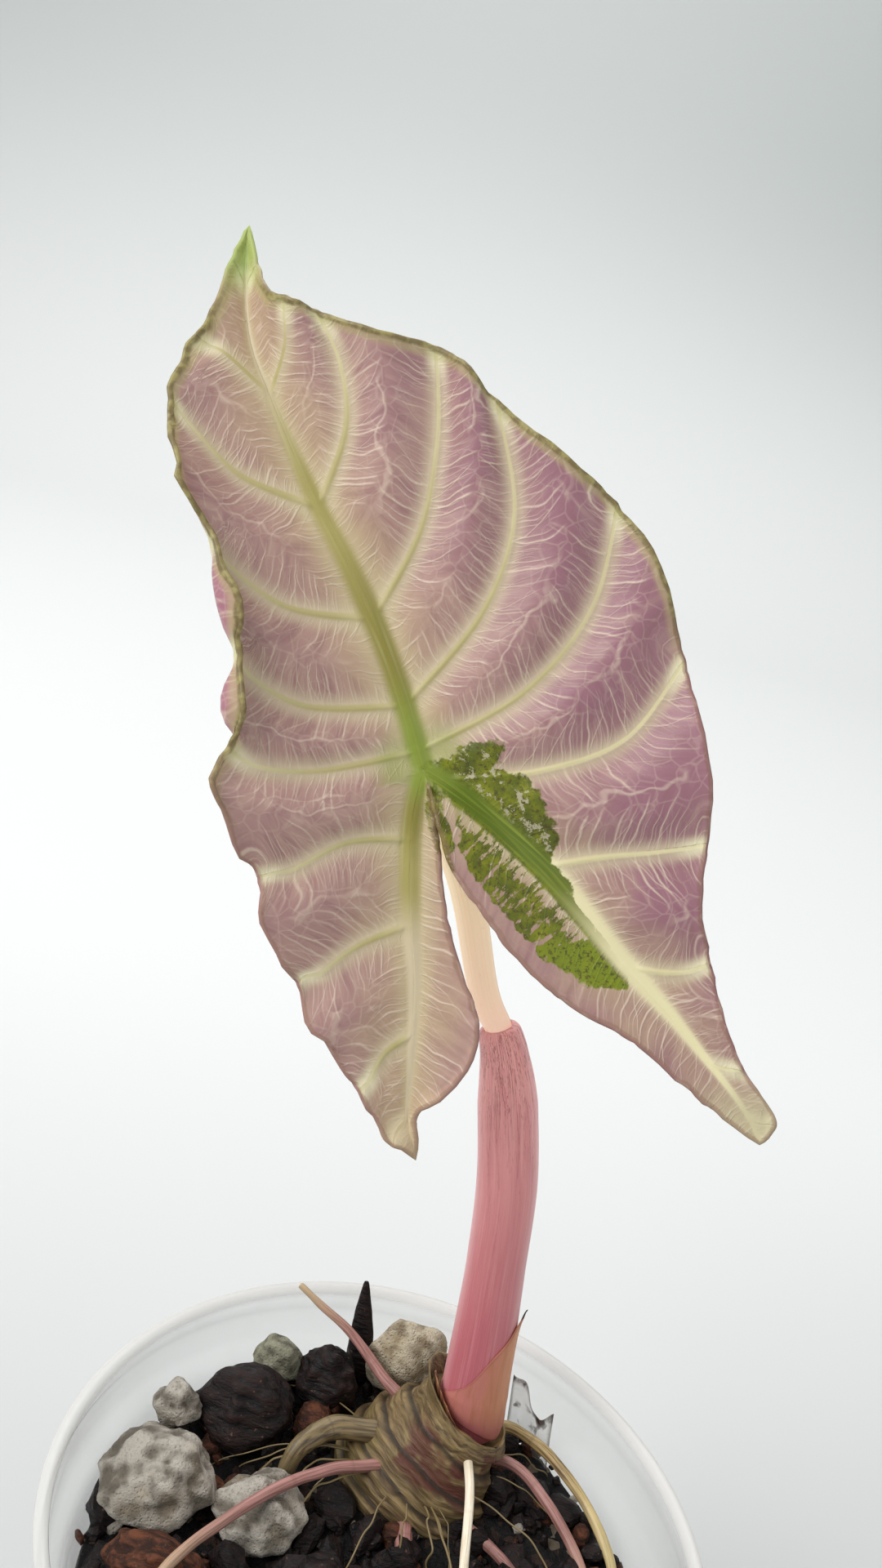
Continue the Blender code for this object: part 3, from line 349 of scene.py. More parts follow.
class Finish:
    """A material with a Principled shader, and the nodes that feed it."""

    def __init__(self, name, **constants):
        self.material = bpy.data.materials.new(name)
        self.material.use_nodes = True
        self.tree = self.material.node_tree
        self.shader = self.tree.nodes["Principled BSDF"]
        for socket, value in constants.items():
            self.shader.inputs[socket.replace("_", " ")].default_value = value

    def node(self, kind, settings=None, values=None, output=0):
        """Adds a node with its settings, and its sockets' values or links; gives the outputs asked for."""
        made = self.tree.nodes.new("ShaderNode" + kind)
        for name, value in (settings or {}).items():
            setattr(made, name, value)
        for name, value in (values or {}).items():
            if isinstance(value, Signal):
                self.tree.links.new(value.socket, made.inputs[name])
            else:
                made.inputs[name].default_value = value
        if isinstance(output, tuple):
            return tuple(Signal(self, made.outputs[name]) for name in output)
        return Signal(self, made.outputs[output])

    def attribute(self, name):
        """The three numbers that a piece carries under that name."""
        return self.parts(self.node("Attribute", {"attribute_name": name}, output="Vector"))

    def parts(self, vector):
        return self.node("SeparateXYZ", values={0: vector}, output=(0, 1, 2))

    def joined(self, x, y, z):
        return self.node("CombineXYZ", values={0: x, 1: y, 2: z})

    def place(self):
        """Place on the piece in metres."""
        return self.node("TexCoord", output="Object")

    def noise(self, vector, scale, detail=3.0, roughness=0.5):
        return self.node("TexNoise", values={"Vector": vector, "Scale": scale, "Detail": detail,
                                             "Roughness": roughness})

    def stretched(self, x, y, z, detail=3.0, roughness=0.5):
        """Noise that is finer or coarser along each of three directions."""
        return self.noise(self.joined(x, y, z), 1.0, detail, roughness)

    def cells(self, vector, scale, feature="F1", output="Distance"):
        return self.node("TexVoronoi", {"feature": feature}, {"Vector": vector, "Scale": scale}, output)

    def vector(self, operation, *values, output=0):
        """Adds a VectorMath node with its inputs in their order."""
        return self.node("VectorMath", {"operation": operation}, dict(enumerate(values)), output)

    def random(self, value):
        """A random number for each whole number."""
        return self.node("TexWhiteNoise", {"noise_dimensions": "1D"}, {"W": value})

    def finished(self, height=None, depth=0.0, **links):
        """Links signals to the shader; a height from 0 to 1 becomes a relief, its depth in millimetres."""
        if height is not None:
            links["Normal"] = self.node("Bump", values={"Strength": 1.0, "Distance": depth * MM,
                                                        "Height": height})
        for socket, signal in links.items():
            self.tree.links.new(signal.socket, self.shader.inputs[socket.replace("_", " ")])
        return self.material


print("material tools are ready")

# %% Floor and lamps
FLOOR_SIDE = 2.4
FLOOR_FRONT = -1.6
FLOOR_BACK = 0.95
FLOOR_BEND = 0.5
FLOOR_TOP = 1.7


def pale_floor():
    """A level stretch, a quarter circle behind the plant and an upright stretch."""
    bend = np.radians(np.linspace(0.0, 90.0, 24))
    along_y = FLOOR_BACK + FLOOR_BEND * np.sin(bend)
    along_y = np.concatenate([[FLOOR_FRONT], along_y, along_y[-1:]])
    height = np.concatenate([[0.0], FLOOR_BEND * (1 - np.cos(bend)), [FLOOR_TOP]])
    width = np.linspace(-FLOOR_SIDE, FLOOR_SIDE, 2)
    grid = xyz(width[None], along_y[:, None], height[:, None])
    mesh = bpy.data.meshes.new("floor")
    mesh.from_pydata(grid.reshape(-1, 3).tolist(), [], grid_faces(len(along_y), 2).tolist())
    mesh.shade_smooth()
    paper = Finish("floor_paper", Roughness=0.95)
    x, y, z = paper.parts(paper.place())
    # painted shade: the upright part is darker than the level part and darkens towards the right; the level
    # part darkens towards the front
    back = x.step(-0.3, 0.9).blend((206, 209, 208), (178, 184, 182))
    level = y.step(0.35, 0.0).blend((236, 237, 236), (210, 211, 210))
    mesh.materials.append(paper.finished(Base_Color=level.layer(z.step(0.0, 0.42), back)))
    floor = bpy.data.objects.new("floor", mesh)
    scene.collection.objects.link(floor)


def lamp(name, place, size, power, target=(0.0, 0.02, 0.15)):
    """A square lamp that shines at the plant or at another target."""
    data = bpy.data.lights.new(name, "AREA")
    data.size = size
    data.energy = power
    made = bpy.data.objects.new(name, data)
    scene.collection.objects.link(made)
    back = unit(np.array(place) - np.array(target))
    right = unit(np.cross((0.0, 1.0, 0.4), back))
    turn = np.eye(4)
    turn[:3, :3] = np.array((right, np.cross(back, right), back)).T
    turn[:3, 3] = place
    made.matrix_world = Matrix(turn.tolist())


pale_floor()
lamp("lamp_left", (-0.85, -0.45, 0.95), 0.8, 12.0)
lamp("lamp_right", (1.0, -0.6, 0.9), 0.9, 2.5)
lamp("lamp_floor", (-0.1, 0.7, 1.0), 0.9, 5.4, target=(0.1, 0.6, 0.0))
sky = bpy.data.worlds.new("sky")
sky.use_nodes = True
sky_inputs = sky.node_tree.nodes["Background"].inputs
sky_inputs["Color"].default_value = colour(236, 240, 240)
sky_inputs["Strength"].default_value = 0.5
scene.world = sky
print("floor and lamps are in place")

# %% [markdown]
# ## The leaf's shape
# The blade hangs on three ribs: the midrib up to the tip and one costa in each lobe. Cross lines leave the
# ribs, and a few of them are the primary veins. Each line has its start on the rib, a point at its middle,
# one near the edge and one on the edge, all in millimetres (across, along, towards the viewer).

# %% Lines of the blade
JUNCTION = np.array((-21.4, 24.0, 201.9))
BLADE_RECLINE = math.radians(18.0)
BLADE_LEAN = math.radians(-32.3)
BLADE_OUT = np.array((0.0, -math.cos(BLADE_RECLINE), math.sin(BLADE_RECLINE)))
TIP = (0, 78.5, -6)
LEFT_TIP = (-18, -51, -1)
RIGHT_TIP = (28, -62, 3)
SINUS = (0, -2, 1)
MIDRIB = [TIP, (-3, 70, -4), (-4.6, 62, -2.6), (-4.2, 54.5, -1.6), (-3.6, 47, -1), (-2.6, 38, -0.5),
          (-1.2, 30, 0), (-0.2, 21.5, 0), (0.2, 15.5, 0), (0.3, 9, 0), (0.2, 5.5, 0), (0.1, 2.6, 0),
          (0, 0, 0)]
LEFT_COSTA = [(0, 0, 0), (-2.6, -4, 0.2), (-4.6, -8.5, 0.4), (-6.5, -14, 0.8), (-8, -19.5, 1),
              (-10, -27, 1), (-12.6, -34, 1), (-15, -40, 0.5), (-17, -45, 0), LEFT_TIP]
RIGHT_COSTA = [(0, 0, 0), (1.8, -2, 0.2), (5, -6.2, 0.5), (8, -11, 0.6), (11.5, -17.5, 1), (15, -25.5, 1),
               (18.2, -34, 1), (21.8, -42, 1.1), (24.8, -50, 1.5), (26.8, -55.5, 2.2), (27.7, -59, 2.6),
               RIGHT_TIP]
LEFT_LINES = [
    (TIP, TIP, TIP),
    ((-3.2, 72, -4), (-3.4, 73, -3.8), (-3.6, 74, -3.5)),
    ((-5.8, 66, -1.8), (-6.5, 67.5, -1.4), (-7.2, 68.6, -1)),
    ((-8.2, 61.5, 0), (-9.8, 63.2, 0.5), (-11.2, 64.4, 1)),
    ((-10.4, 56, 1.5), (-13.8, 58.8, 2.8), (-15.6, 59.8, 3.6)),
    ((-11.2, 45, 1.6), (-15.2, 52.6, 3.4), (-17.2, 56.4, 4.6)),
    ((-11.2, 36.5, 3.8), (-16.4, 44.5, 7.2), (-17.6, 47.5, 9.5)),
    ((-10.8, 26.5, 2.8), (-16.8, 35, 6.6), (-16.8, 38.4, 8.8)),
    ((-11, 19.8, 4.6), (-18.2, 29.6, 9), (-15.2, 28.2, 11.8)),
    ((-12.6, 13.2, 3.4), (-18.6, 20.6, 7.8), (-17.6, 23.4, 9.8)),
    ((-13.6, 8.6, 5.2), (-21.8, 15.4, 9.6), (-19.2, 15.8, 12)),
    ((-13, 4.2, 3.8), (-20.6, 7.4, 7.6), (-22.8, 10.4, 9.6)),
    ((-13.8, 0.4, 5.8), (-24.6, 5.2, 10.6), (-26.6, 6.6, 12.2)),
    ((-13.2, -2.6, 5.4), (-23.4, -0.4, 9), (-25.8, 0.2, 10)),
    ((-12.6, -6, 3.4), (-20.8, -7, 5.8), (-25.2, -6.2, 7.2)),
    ((-14.6, -12.2, 4.4), (-22.6, -13, 7), (-25.6, -12.6, 8)),
    ((-15.4, -19.8, 2.4), (-21.8, -21.6, 4), (-25, -22.4, 4.8)),
    ((-16.2, -27.6, 3.2), (-21.6, -29.4, 4.8), (-24, -30.2, 5.4)),
    ((-16.8, -35, 1.6), (-19.8, -37.4, 2.4), (-21.8, -38.8, 3)),
    ((-17.8, -41.4, 1.2), (-19.6, -43.2, 1.5), (-20.6, -44.4, 1.8)),
    ((-18.4, -46, 0.2), (-19.3, -46.8, 0.4), (-19.9, -47.4, 0.6)),
    (LEFT_TIP, LEFT_TIP, LEFT_TIP)]
RIGHT_LINES = [
    (TIP, TIP, TIP),
    ((-2, 71, -3.9), (-1.2, 71.6, -3.6), (-0.5, 72, -3.2)),
    ((-2.6, 64.5, -1.8), (-1.2, 66, -0.6), (0, 67.2, 0.6)),
    ((-0.2, 59.5, 0.4), (1.2, 63.2, 1.8), (1.8, 65.4, 2.6)),
    ((1.8, 54, 1.2), (3.4, 60.4, 2.4), (3.6, 64, 3)),
    ((4.2, 46.5, 1), (6.2, 55, 1.2), (5.4, 62.4, 1.4)),
    ((7.4, 39.5, 2.8), (11, 50, 3.2), (12.2, 57, 3.6)),
    ((9.4, 30.5, 1.2), (15.6, 42, 1), (19, 53.2, 0.9)),
    ((12.2, 24.2, 3.2), (19.4, 36.5, 3.4), (22.2, 48.6, 3.6)),
    ((14, 17.6, 1.8), (22.2, 29, 1.5), (24.4, 43.6, 1.5)),
    ((16, 12, 3.8), (26.6, 21.8, 3.8), (30.8, 33.6, 3.6)),
    ((16, 5.8, 2.2), (28.2, 13.8, 1.7), (35.6, 25.6, 1.5)),
    ((16.8, 0.6, 4), (29.8, 7, 3.9), (38.2, 16, 3.6)),
    ((15.2, -4.8, 2.4), (27.4, -4.2, 2), (37.6, 3, 1.8)),
    ((16.4, -9.4, 3.6), (27.4, -9.6, 4.2), (37, -5.4, 4.4)),
    ((17.4, -13.4, 3.6), (27, -14.6, 4.4), (35.6, -14, 5)),
    ((19, -18.4, 2), (26.4, -20, 2.4), (33, -21.2, 2.8)),
    ((20.8, -27.2, 3), (25.8, -28.4, 3.4), (29.8, -28.6, 3.6)),
    ((22.4, -36, 1.3), (25.8, -37, 1.4), (28.9, -36.8, 1.6)),
    ((24.8, -43.4, 1.9), (26.8, -44.4, 2), (28.2, -45.2, 2.1)),
    ((26.6, -51.2, 1.9), (27.8, -51.8, 2), (28.7, -52.2, 2.1)),
    ((28.2, -56.2, 2.4), (29.4, -56.8, 2.6), (30.2, -57.4, 2.6)),
    ((28.8, -59.8, 2.8), (29.7, -60.1, 2.9), (30.4, -60.4, 3)),
    (RIGHT_TIP, RIGHT_TIP, RIGHT_TIP)]
LEFT_LOBE = [
    (0.00, (0, -1, 0.5), SINUS),
    (0.22, (-2.8, -10, 1.2), (-1.3, -10.4, 1.8)),
    (0.40, (-5.4, -18.8, 1.8), (-3.2, -19, 2.3)),
    (0.55, (-6.9, -27, 2.2), (-3.7, -27.6, 2.9)),
    (0.69, (-8, -34.6, 2.6), (-3.7, -35.2, 3.9)),
    (0.79, (-10.9, -40, 2), (-7.6, -40.8, 3.3)),
    (0.84, (-13.9, -42.4, 1.2), (-12.6, -43.6, 2.2)),
    (0.88, (-16.2, -44.7, 0.5), (-15.9, -44.9, 0.7)),
    (0.94, (-17.3, -47.8, -0.3), (-16.9, -48, -0.2)),
    (1.00, LEFT_TIP, LEFT_TIP)]
RIGHT_LOBE = [
    (0.00, (0, -1, 0.5), SINUS),
    (0.13, (2.4, -7.4, 1.6), (-0.2, -8.6, 3)),
    (0.22, (4.4, -13, 2.1), (-0.2, -13.8, 3.5)),
    (0.33, (6.9, -20, 2.5), (2, -20.4, 4)),
    (0.46, (10, -28, 2.5), (4.6, -28.2, 4)),
    (0.60, (14.2, -36.6, 2), (9.6, -36.4, 3.5)),
    (0.73, (18.6, -43.6, 2), (15.6, -43.2, 3)),
    (0.86, (22.8, -51.4, 2), (20.6, -51.4, 2.5)),
    (0.94, (25.6, -57, 2.2), (24.2, -57.2, 2.4)),
    (1.00, RIGHT_TIP, RIGHT_TIP)]
JUNCTION_LINE = 12
print("cross lines:", len(LEFT_LINES), "on the left and", len(RIGHT_LINES), "on the right")

# %% [markdown]
# ## The leaf as a fine grid
# Each half is a grid: one number runs down the ribs from line to line, the other runs out from the rib to
# the edge. The rows crowd round each primary vein and the columns crowd round the ribs and the edge, where
# the surface bends most. A stretch from one mid-line to the next has one nearest vein, so each corner of a
# face can carry its place along that vein and its distance from it. The material draws the fine veins from
# these two numbers.

# %% Blocks of rows
LEFT_BLOCKS = ((0, 1, 2), (2, 3, 4), (4, 5, 6), (6, 7, 8), (8, 9, 10), (10, 11, 12), (12, 11, 12.5),
               (12.5, 14, 15), (15, 16, 17), (17, 18, 19), (19, 20, 21))
RIGHT_BLOCKS = ((0, 1, 2), (2, 3, 4), (4, 5, 6), (6, 7, 8), (8, 9, 10), (10, 11, 12), (12, 13, 14.5),
                (14.5, 16, 17), (17, 18, 19), (19, 20, 21), (21, 22, 23))
VEIN_STRENGTH = {1: 0.25, 3: 0.55, 20: 0.45, 22: 0.3}
VEIN_STEPS = np.array((0.0, 0.035, 0.07, 0.11, 0.17, 0.26, 0.38, 0.54, 0.76, 1.0))
RIB_HALF_WIDTH = 1.75
RIB_STEPS = np.linspace(0.0, 3.0, 11)
EDGE_STEPS = np.array((1.5, 1.1, 0.75, 0.45, 0.2, 0.0))
NO_VEIN = 30.0  # a distance at which no vein is drawn


def block_stations(start, vein, end):
    """Places of a block's rows, close together round its vein."""
    if not start < vein < end:
        return np.linspace(start, end, 5)
    return np.concatenate([vein - (vein - start) * VEIN_STEPS[::-1], vein + (end - vein) * VEIN_STEPS[1:]])


def spine_points(places, costa):
    """Points of the midrib down to the junction and of the costa after it."""
    upper = smooth_curve(MIDRIB, np.minimum(places, JUNCTION_LINE))
    lower = smooth_curve(costa, np.maximum(places - JUNCTION_LINE, 0.0))
    return np.where((places <= JUNCTION_LINE)[:, None], upper, lower)


def shares_across(lengths, middle):
    """Columns as shares of a row: crowded in the first and the last millimetres, even between them."""
    lengths = np.maximum(lengths, 0.02)[:, None]
    near = RIB_STEPS * np.minimum(1.0, 0.40 * lengths / RIB_STEPS[-1])
    far = lengths - EDGE_STEPS * np.minimum(1.0, 0.30 * lengths / EDGE_STEPS[0])
    between = near[:, -1:] + (far[:, :1] - near[:, -1:]) * np.linspace(0, 1, middle + 2)[None, 1:-1]
    return np.concatenate([near, between, far], axis=1) / lengths


def row_lengths(controls):
    """Length of each row of control points, from point to point."""
    return np.linalg.norm(np.diff(controls, axis=1), axis=2).sum(axis=1)


def half_controls(places, lines, costa):
    """Four control points for each row of a half."""
    table = np.array(lines, float)
    outward = [smooth_curve(table[:, k], places) for k in range(3)]
    return np.stack([spine_points(places, costa), *outward], axis=1)


def lobe_controls(places, lines, costa, lobe):
    """Three control points for each row of a lobe's inner side."""
    reach = (places - JUNCTION_LINE) / (len(lines) - 1 - JUNCTION_LINE)
    spot = np.interp(reach, [mark for mark, _, _ in lobe], range(len(lobe)))
    middle, edge = (smooth_curve([line[k] for line in lobe], spot) for k in (1, 2))
    return np.stack([spine_points(places, costa), middle, edge], axis=1)


def along_line(points, line):
    """Length along a line of points and distance from it, from each point's nearest bit of the line."""
    tangent = unit(np.gradient(line, axis=0))
    length = np.concatenate([[0.0], np.cumsum(np.linalg.norm(np.diff(line, axis=0), axis=1))])
    flat = points.reshape(-1, 3)
    near = np.argmin((flat ** 2).sum(1)[:, None] - 2 * flat @ line.T + (line ** 2).sum(1)[None], axis=1)
    offset = flat - line[near]
    forward = (offset * tangent[near]).sum(axis=1)
    forward = np.where(near == 0, np.maximum(forward, 0), forward)
    forward = np.where(near == len(line) - 1, np.minimum(forward, 0), forward)
    away = np.linalg.norm(offset - forward[:, None] * tangent[near], axis=1)
    shape = points.shape[:-1]
    return (length[near] + forward).reshape(shape), away.reshape(shape)


SPINES = [smooth_curve(line, np.linspace(0, len(line) - 1, count))
          for line, count in ((MIDRIB, 260), (LEFT_COSTA, 200), (RIGHT_COSTA, 240))]
print("rows on the left:", sum(len(block_stations(*block)) - 1 for block in LEFT_BLOCKS) + 1)

# %% Gather the blade


def triangle_normals(points, triangles):
    """Cross products of two sides of each triangle."""
    first, second, third = (points[triangles[:, k]] for k in range(3))
    return np.cross(second - first, third - first)


class Patches:
    """Grids of the blade as they are made, each with four grids of values, one after the other."""

    def __init__(self):
        self.triangles = []
        self.grids = [[] for _ in range(5)]
        self.count = 0

    def add(self, *grids):
        """Stores grids of points and values; the triangles are turned to look at the viewer."""
        rows, columns = grids[0].shape[:2]
        quads = grid_faces(rows, columns)
        triangles = np.concatenate([quads[:, [0, 1, 2]], quads[:, [0, 2, 3]]])
        for store, grid in zip(self.grids, grids):
            store.append(grid.reshape(-1, 3))
        if triangle_normals(self.grids[0][-1], triangles)[:, 2].sum() < 0:
            triangles = triangles[:, ::-1]
        self.triangles.append(triangles + self.count)
        self.count += rows * columns


def edge_distance(grid):
    """Length along each row from a point to the row's end at the leaf's edge."""
    steps = np.linalg.norm(np.diff(grid, axis=1), axis=2)
    return np.concatenate([np.cumsum(steps[:, ::-1], axis=1)[:, ::-1], np.zeros((len(grid), 1))], axis=1)


def add_half(patches, lines, costa, blocks, spine):
    """Adds the blocks of one half, with the ridge of each primary vein."""
    for start, vein, end in blocks:
        places = block_stations(start, vein, end)
        controls = half_controls(places, lines, costa)
        shares = shares_across(row_lengths(controls), 26)
        grid = smooth_rows(controls, 3.0 * shares)
        vein_controls = half_controls(np.array([float(vein)]), lines, costa)
        along, away = along_line(grid, smooth_rows(vein_controls, np.linspace(0, 3, 160)[None])[0])
        strength = VEIN_STRENGTH.get(vein, 1.0)
        width = strength * (0.42 + 0.62 * (1 - shares) ** 1.2)
        side = np.sign(places - vein + 1e-9)[:, None]
        ridge = 0.34 * strength * (1 - 0.75 * shares) * np.exp(-(away / 0.55) ** 2)
        rib_number = 0 if end <= JUNCTION_LINE else spine
        rib_along, rib_away = along_line(grid, SPINES[rib_number])
        reach = np.where(places < vein, vein - start, end - vein)
        sector = np.abs(places - vein) / np.maximum(reach, 1e-6)
        patches.add(grid, xyz(edge_distance(grid), ridge, width),
                    xyz(along, away * side, vein + 40.0 * spine),
                    xyz(rib_along, rib_away, rib_number), xyz(sector[:, None], shares, side))


def add_lobe(patches, lines, costa, blocks, lobe, spine):
    """Adds a lobe's inner side, which has no primary vein."""
    below = [block_stations(*block) for block in blocks if block[0] >= JUNCTION_LINE]
    places = np.unique(np.concatenate(below))
    controls = lobe_controls(places, lines, costa, lobe)
    shares = shares_across(row_lengths(controls), 12)
    grid = smooth_rows(controls, 2.0 * shares)
    rib_along, rib_away = along_line(grid, SPINES[spine])
    patches.add(grid, xyz(edge_distance(grid), 0.0, 0.2), xyz(rib_along, NO_VEIN, 90.0 + spine),
                xyz(rib_along, rib_away, spine + 4.0), xyz(0.5, shares, 1.0))


blade = Patches()
add_half(blade, LEFT_LINES, LEFT_COSTA, LEFT_BLOCKS, 1)
add_half(blade, RIGHT_LINES, RIGHT_COSTA, RIGHT_BLOCKS, 2)
add_lobe(blade, LEFT_LINES, LEFT_COSTA, LEFT_BLOCKS, LEFT_LOBE, 1)
add_lobe(blade, RIGHT_LINES, RIGHT_COSTA, RIGHT_BLOCKS, RIGHT_LOBE, 2)
print("blade grid points:", blade.count)

# %% [markdown]
# The four patches meet on the ribs, so points in the same place are merged. The blade then gets its
# thickness: the front and the back lie a little off the middle surface, further on ribs and veins, and a
# half-round bead closes the edge, because the edge of this leaf is thicker than its blade.

# %% Thicken the blade
BLADE_HALF = 0.2
BEAD_HALF = 0.36
EDGE_WAVE = 0.25
CURL_WAVE = 1.1
RIB_TOP = 0.8
RIB_BACK = 1.0


def merged(patches):
    """Points merged by place, the triangles between them and the values of points and of corners."""
    points, carried, *values = (np.concatenate(parts) for parts in patches.grids)
    _, first, number = np.unique(np.round(points, 3), axis=0, return_index=True, return_inverse=True)
    raw = np.concatenate(patches.triangles)
    triangles = number.ravel()[raw]
    whole = (triangles != np.roll(triangles, 1, axis=1)).all(axis=1)
    return points[first], triangles[whole], carried[first], [part[raw[whole]] for part in values]


def surface_normals(points, triangles):
    """Unit normals of points: the sum of the normals of the triangles round each."""
    normal = triangle_normals(points, triangles)
    total = np.zeros_like(points)
    for k in range(3):
        np.add.at(total, triangles[:, k], normal)
    return unit(total)


def spread(vectors, triangles, rounds):
    """Unit vectors evened out: each becomes the mean over the triangles round it, as often as asked."""
    for _ in range(rounds):
        means = vectors[triangles].mean(axis=1)
        vectors = unit(xyz(*(np.bincount(triangles.ravel(), np.repeat(means[:, k], 3), len(vectors))
                             for k in range(3))))
    return vectors


def open_edges(triangles, count):
    """Edges that belong to one triangle only, in that triangle's direction."""
    edges = np.concatenate([triangles[:, [0, 1]], triangles[:, [1, 2]], triangles[:, [2, 0]]])
    start, end = edges.T.astype(np.int64)
    return edges[~np.isin(end * count + start, start * count + end)]


def rib_relief(points):
    """How far a point is from the nearest rib, and the half width of the rib there."""
    away = []
    half = []
    for spine, line in enumerate(SPINES):
        length, distance = along_line(points, line)
        total = np.linalg.norm(np.diff(line, axis=0), axis=1).sum()
        from_tip = length if spine == 0 else total - length
        away.append(distance)
        half.append(RIB_HALF_WIDTH * (0.16 + 0.84 * ease(from_tip, 0.0, 60.0 if spine == 0 else 42.0)))
    away, half = np.array(away), np.array(half)
    nearest = np.argmin(away / half, axis=0)[None]
    return np.take_along_axis(away, nearest, 0)[0], np.take_along_axis(half, nearest, 0)[0]


def blade_to_world(points):
    """Turns (across, along, towards the viewer) into the place in the room."""
    rise = np.array((0.0, math.sin(BLADE_RECLINE), math.cos(BLADE_RECLINE)))
    level = np.array((1.0, 0.0, 0.0))
    across = level * math.cos(BLADE_LEAN) - rise * math.sin(BLADE_LEAN)
    lengthwise = level * math.sin(BLADE_LEAN) + rise * math.cos(BLADE_LEAN)
    return JUNCTION + points[:, :1] * across + points[:, 1:2] * lengthwise + points[:, 2:] * BLADE_OUT


middle, blade_triangles, carried, blade_corners = merged(blade)
normals = spread(surface_normals(middle, blade_triangles), blade_triangles, 8)
rib_away, rib_half = rib_relief(middle)
rib_height = np.cos(np.clip(rib_away / rib_half, 0, 1) * math.pi / 2) ** 1.5
rib_height *= (rib_half / RIB_HALF_WIDTH) ** 1.2
bead = ease(1.1 - carried[:, 0], 0.0, 0.9)
at_edge = ease(2.4 - carried[:, 0], 0.0, 2.4)[:, None]
middle = middle + EDGE_WAVE * at_edge * xyz(*(rough_noise(middle * 0.45, 2, 30 + k) for k in range(3)))
curled = (ease(6.0 - carried[:, 0], 0.0, 6.0) * ease(-middle[:, 0], 4.0, 12.0))[:, None]
middle = middle + CURL_WAVE * curled * xyz(*(soft_noise(middle * 0.2, 40 + k) for k in range(3)))
ripple = 0.05 * soft_noise(middle * 0.9, 5)
half_thick = BLADE_HALF + (BEAD_HALF - BLADE_HALF) * bead
above = half_thick + np.maximum(RIB_TOP * rib_height, carried[:, 1]) + ripple
below = half_thick + np.maximum(RIB_BACK * rib_height, 1.3 * carried[:, 1]) - ripple
front = middle + normals * above[:, None]
back = middle - normals * below[:, None]
loose = open_edges(blade_triangles, len(middle))
print("blade points after merging:", len(middle), "open edges:", len(loose),
      "of them on a rib:", int(((rib_away[loose[:, 0]] < 0.5) & (carried[loose[:, 0], 0] > 3.0)).sum()))

# %% [markdown]
# ## The green patch
# Part of the right lobe is green where the rest is pink. Its outline is drawn by a few points in the plane
# of the blade. Each point of the leaf carries its distance from that outline, and the material makes the
# line jagged with noise.

# %% Outline of the green patch
PATCH = [(-0.9, 0.6), (2.5, 0.6), (7, 1.6), (11.4, 0.9), (11.6, -0.5), (9.7, -2.1), (9.9, -3), (12.6, -4.8),
         (13.9, -7), (13.7, -9.3), (14.7, -12.5), (14.6, -14.8), (12.4, -17), (14.5, -20.6), (14.4, -21.6),
         (13, -21.6), (16.4, -29.4), (17.7, -34.6), (17.5, -36.3), (15.3, -36.4), (12.4, -34.7),
         (9.6, -31.4), (7.4, -28.3), (4.7, -22.2), (2.6, -16.2), (1.4, -12.9), (2.1, -8.4), (2.2, -4.6),
         (0.8, -1.8)]
SLIVER = [(0.9, -0.5), (1, -5.4), (0.8, -11.1), (-0.2, -14.2), (-1.6, -13.8), (-1.4, -9.7), (-1, -4.7)]


def outline_distance(points, outline):
    """Distance to a closed outline in the plane, above zero inside it and below zero outside."""
    starts = np.array(outline, float)
    steps = np.roll(starts, -1, axis=0) - starts
    offset = points[:, None, :2] - starts[None]
    share = np.clip((offset * steps).sum(-1) / (steps ** 2).sum(-1), 0, 1)
    distance = np.linalg.norm(offset - share[..., None] * steps, axis=-1).min(axis=1)
    ends = starts + steps
    above = (starts[:, 1] > points[:, 1:2]) != (ends[:, 1] > points[:, 1:2])
    slope = steps[:, 0] / np.where(steps[:, 1] == 0, 1e-9, steps[:, 1])
    crossing = points[:, :1] < starts[:, 0] + (points[:, 1:2] - starts[:, 1]) * slope
    inside = (above & crossing).sum(axis=1) % 2 == 1
    return np.where(inside, distance, -distance)


patch_distance = np.maximum(outline_distance(middle, PATCH), outline_distance(middle, SLIVER))
print("points on the green patch:", int((patch_distance > 0).sum()))

# %% [markdown]
# ## The leaf's finish
# The blade is mauve-pink, darker and more purple towards its right edge, and olive-cream beside the ribs.
# Fine cream veins leave the primary veins almost squarely, bend towards the edge and lose themselves in a
# net midway to the next vein. Their lines are whole steps of the length along the vein, bent by the
# distance from it. The edge is an olive band and the ribs go from green at the junction to cream.

# %% Leaf material


def fine_lines(finish, along, away, seed, slope, bend, spacing, width, reach):
    """Lines that leave a vein: whole steps of (length - slope x distance - bend x distance squared)."""
    wander = finish.stretched(along * 0.17, away * 0.19, seed, 1.2) - 0.5
    phase = (along - away * slope - away * away * bend + wander * 2.8) / spacing
    line = phase.math("FLOOR")
    strength = finish.random(line + seed * 17.0)
    shift = finish.random(line + seed * 17.0 + 0.5) * 0.5
    across = abs(phase - line - 0.25 - shift) * spacing
    core = across.step(width * (strength * 0.9 + 0.6), 0.0)
    limit = reach * (strength * 0.8 + 0.5)
    fade = away.step(limit, limit * 0.4) * away.step(0.2, 1.6, 0.5, 1.0)
    return core * fade * (strength * 0.7 + 0.3)


def vein_lines(leaf, along, away, seed):
    """Main lines, slanting forks between them, and short fine lines beside the vein."""
    main = fine_lines(leaf, along, away, seed, 0.14, 0.035, 1.35, 0.19, 9.0)
    forks = fine_lines(leaf, along, away, seed + 3.0, 0.75, 0.03, 3.1, 0.17, 8.0)
    short = fine_lines(leaf, along, away, seed + 5.0, 0.1, 0.04, 0.66, 0.13, 5.0)
    return (main + forks * 0.7 + short * 0.5).capped()


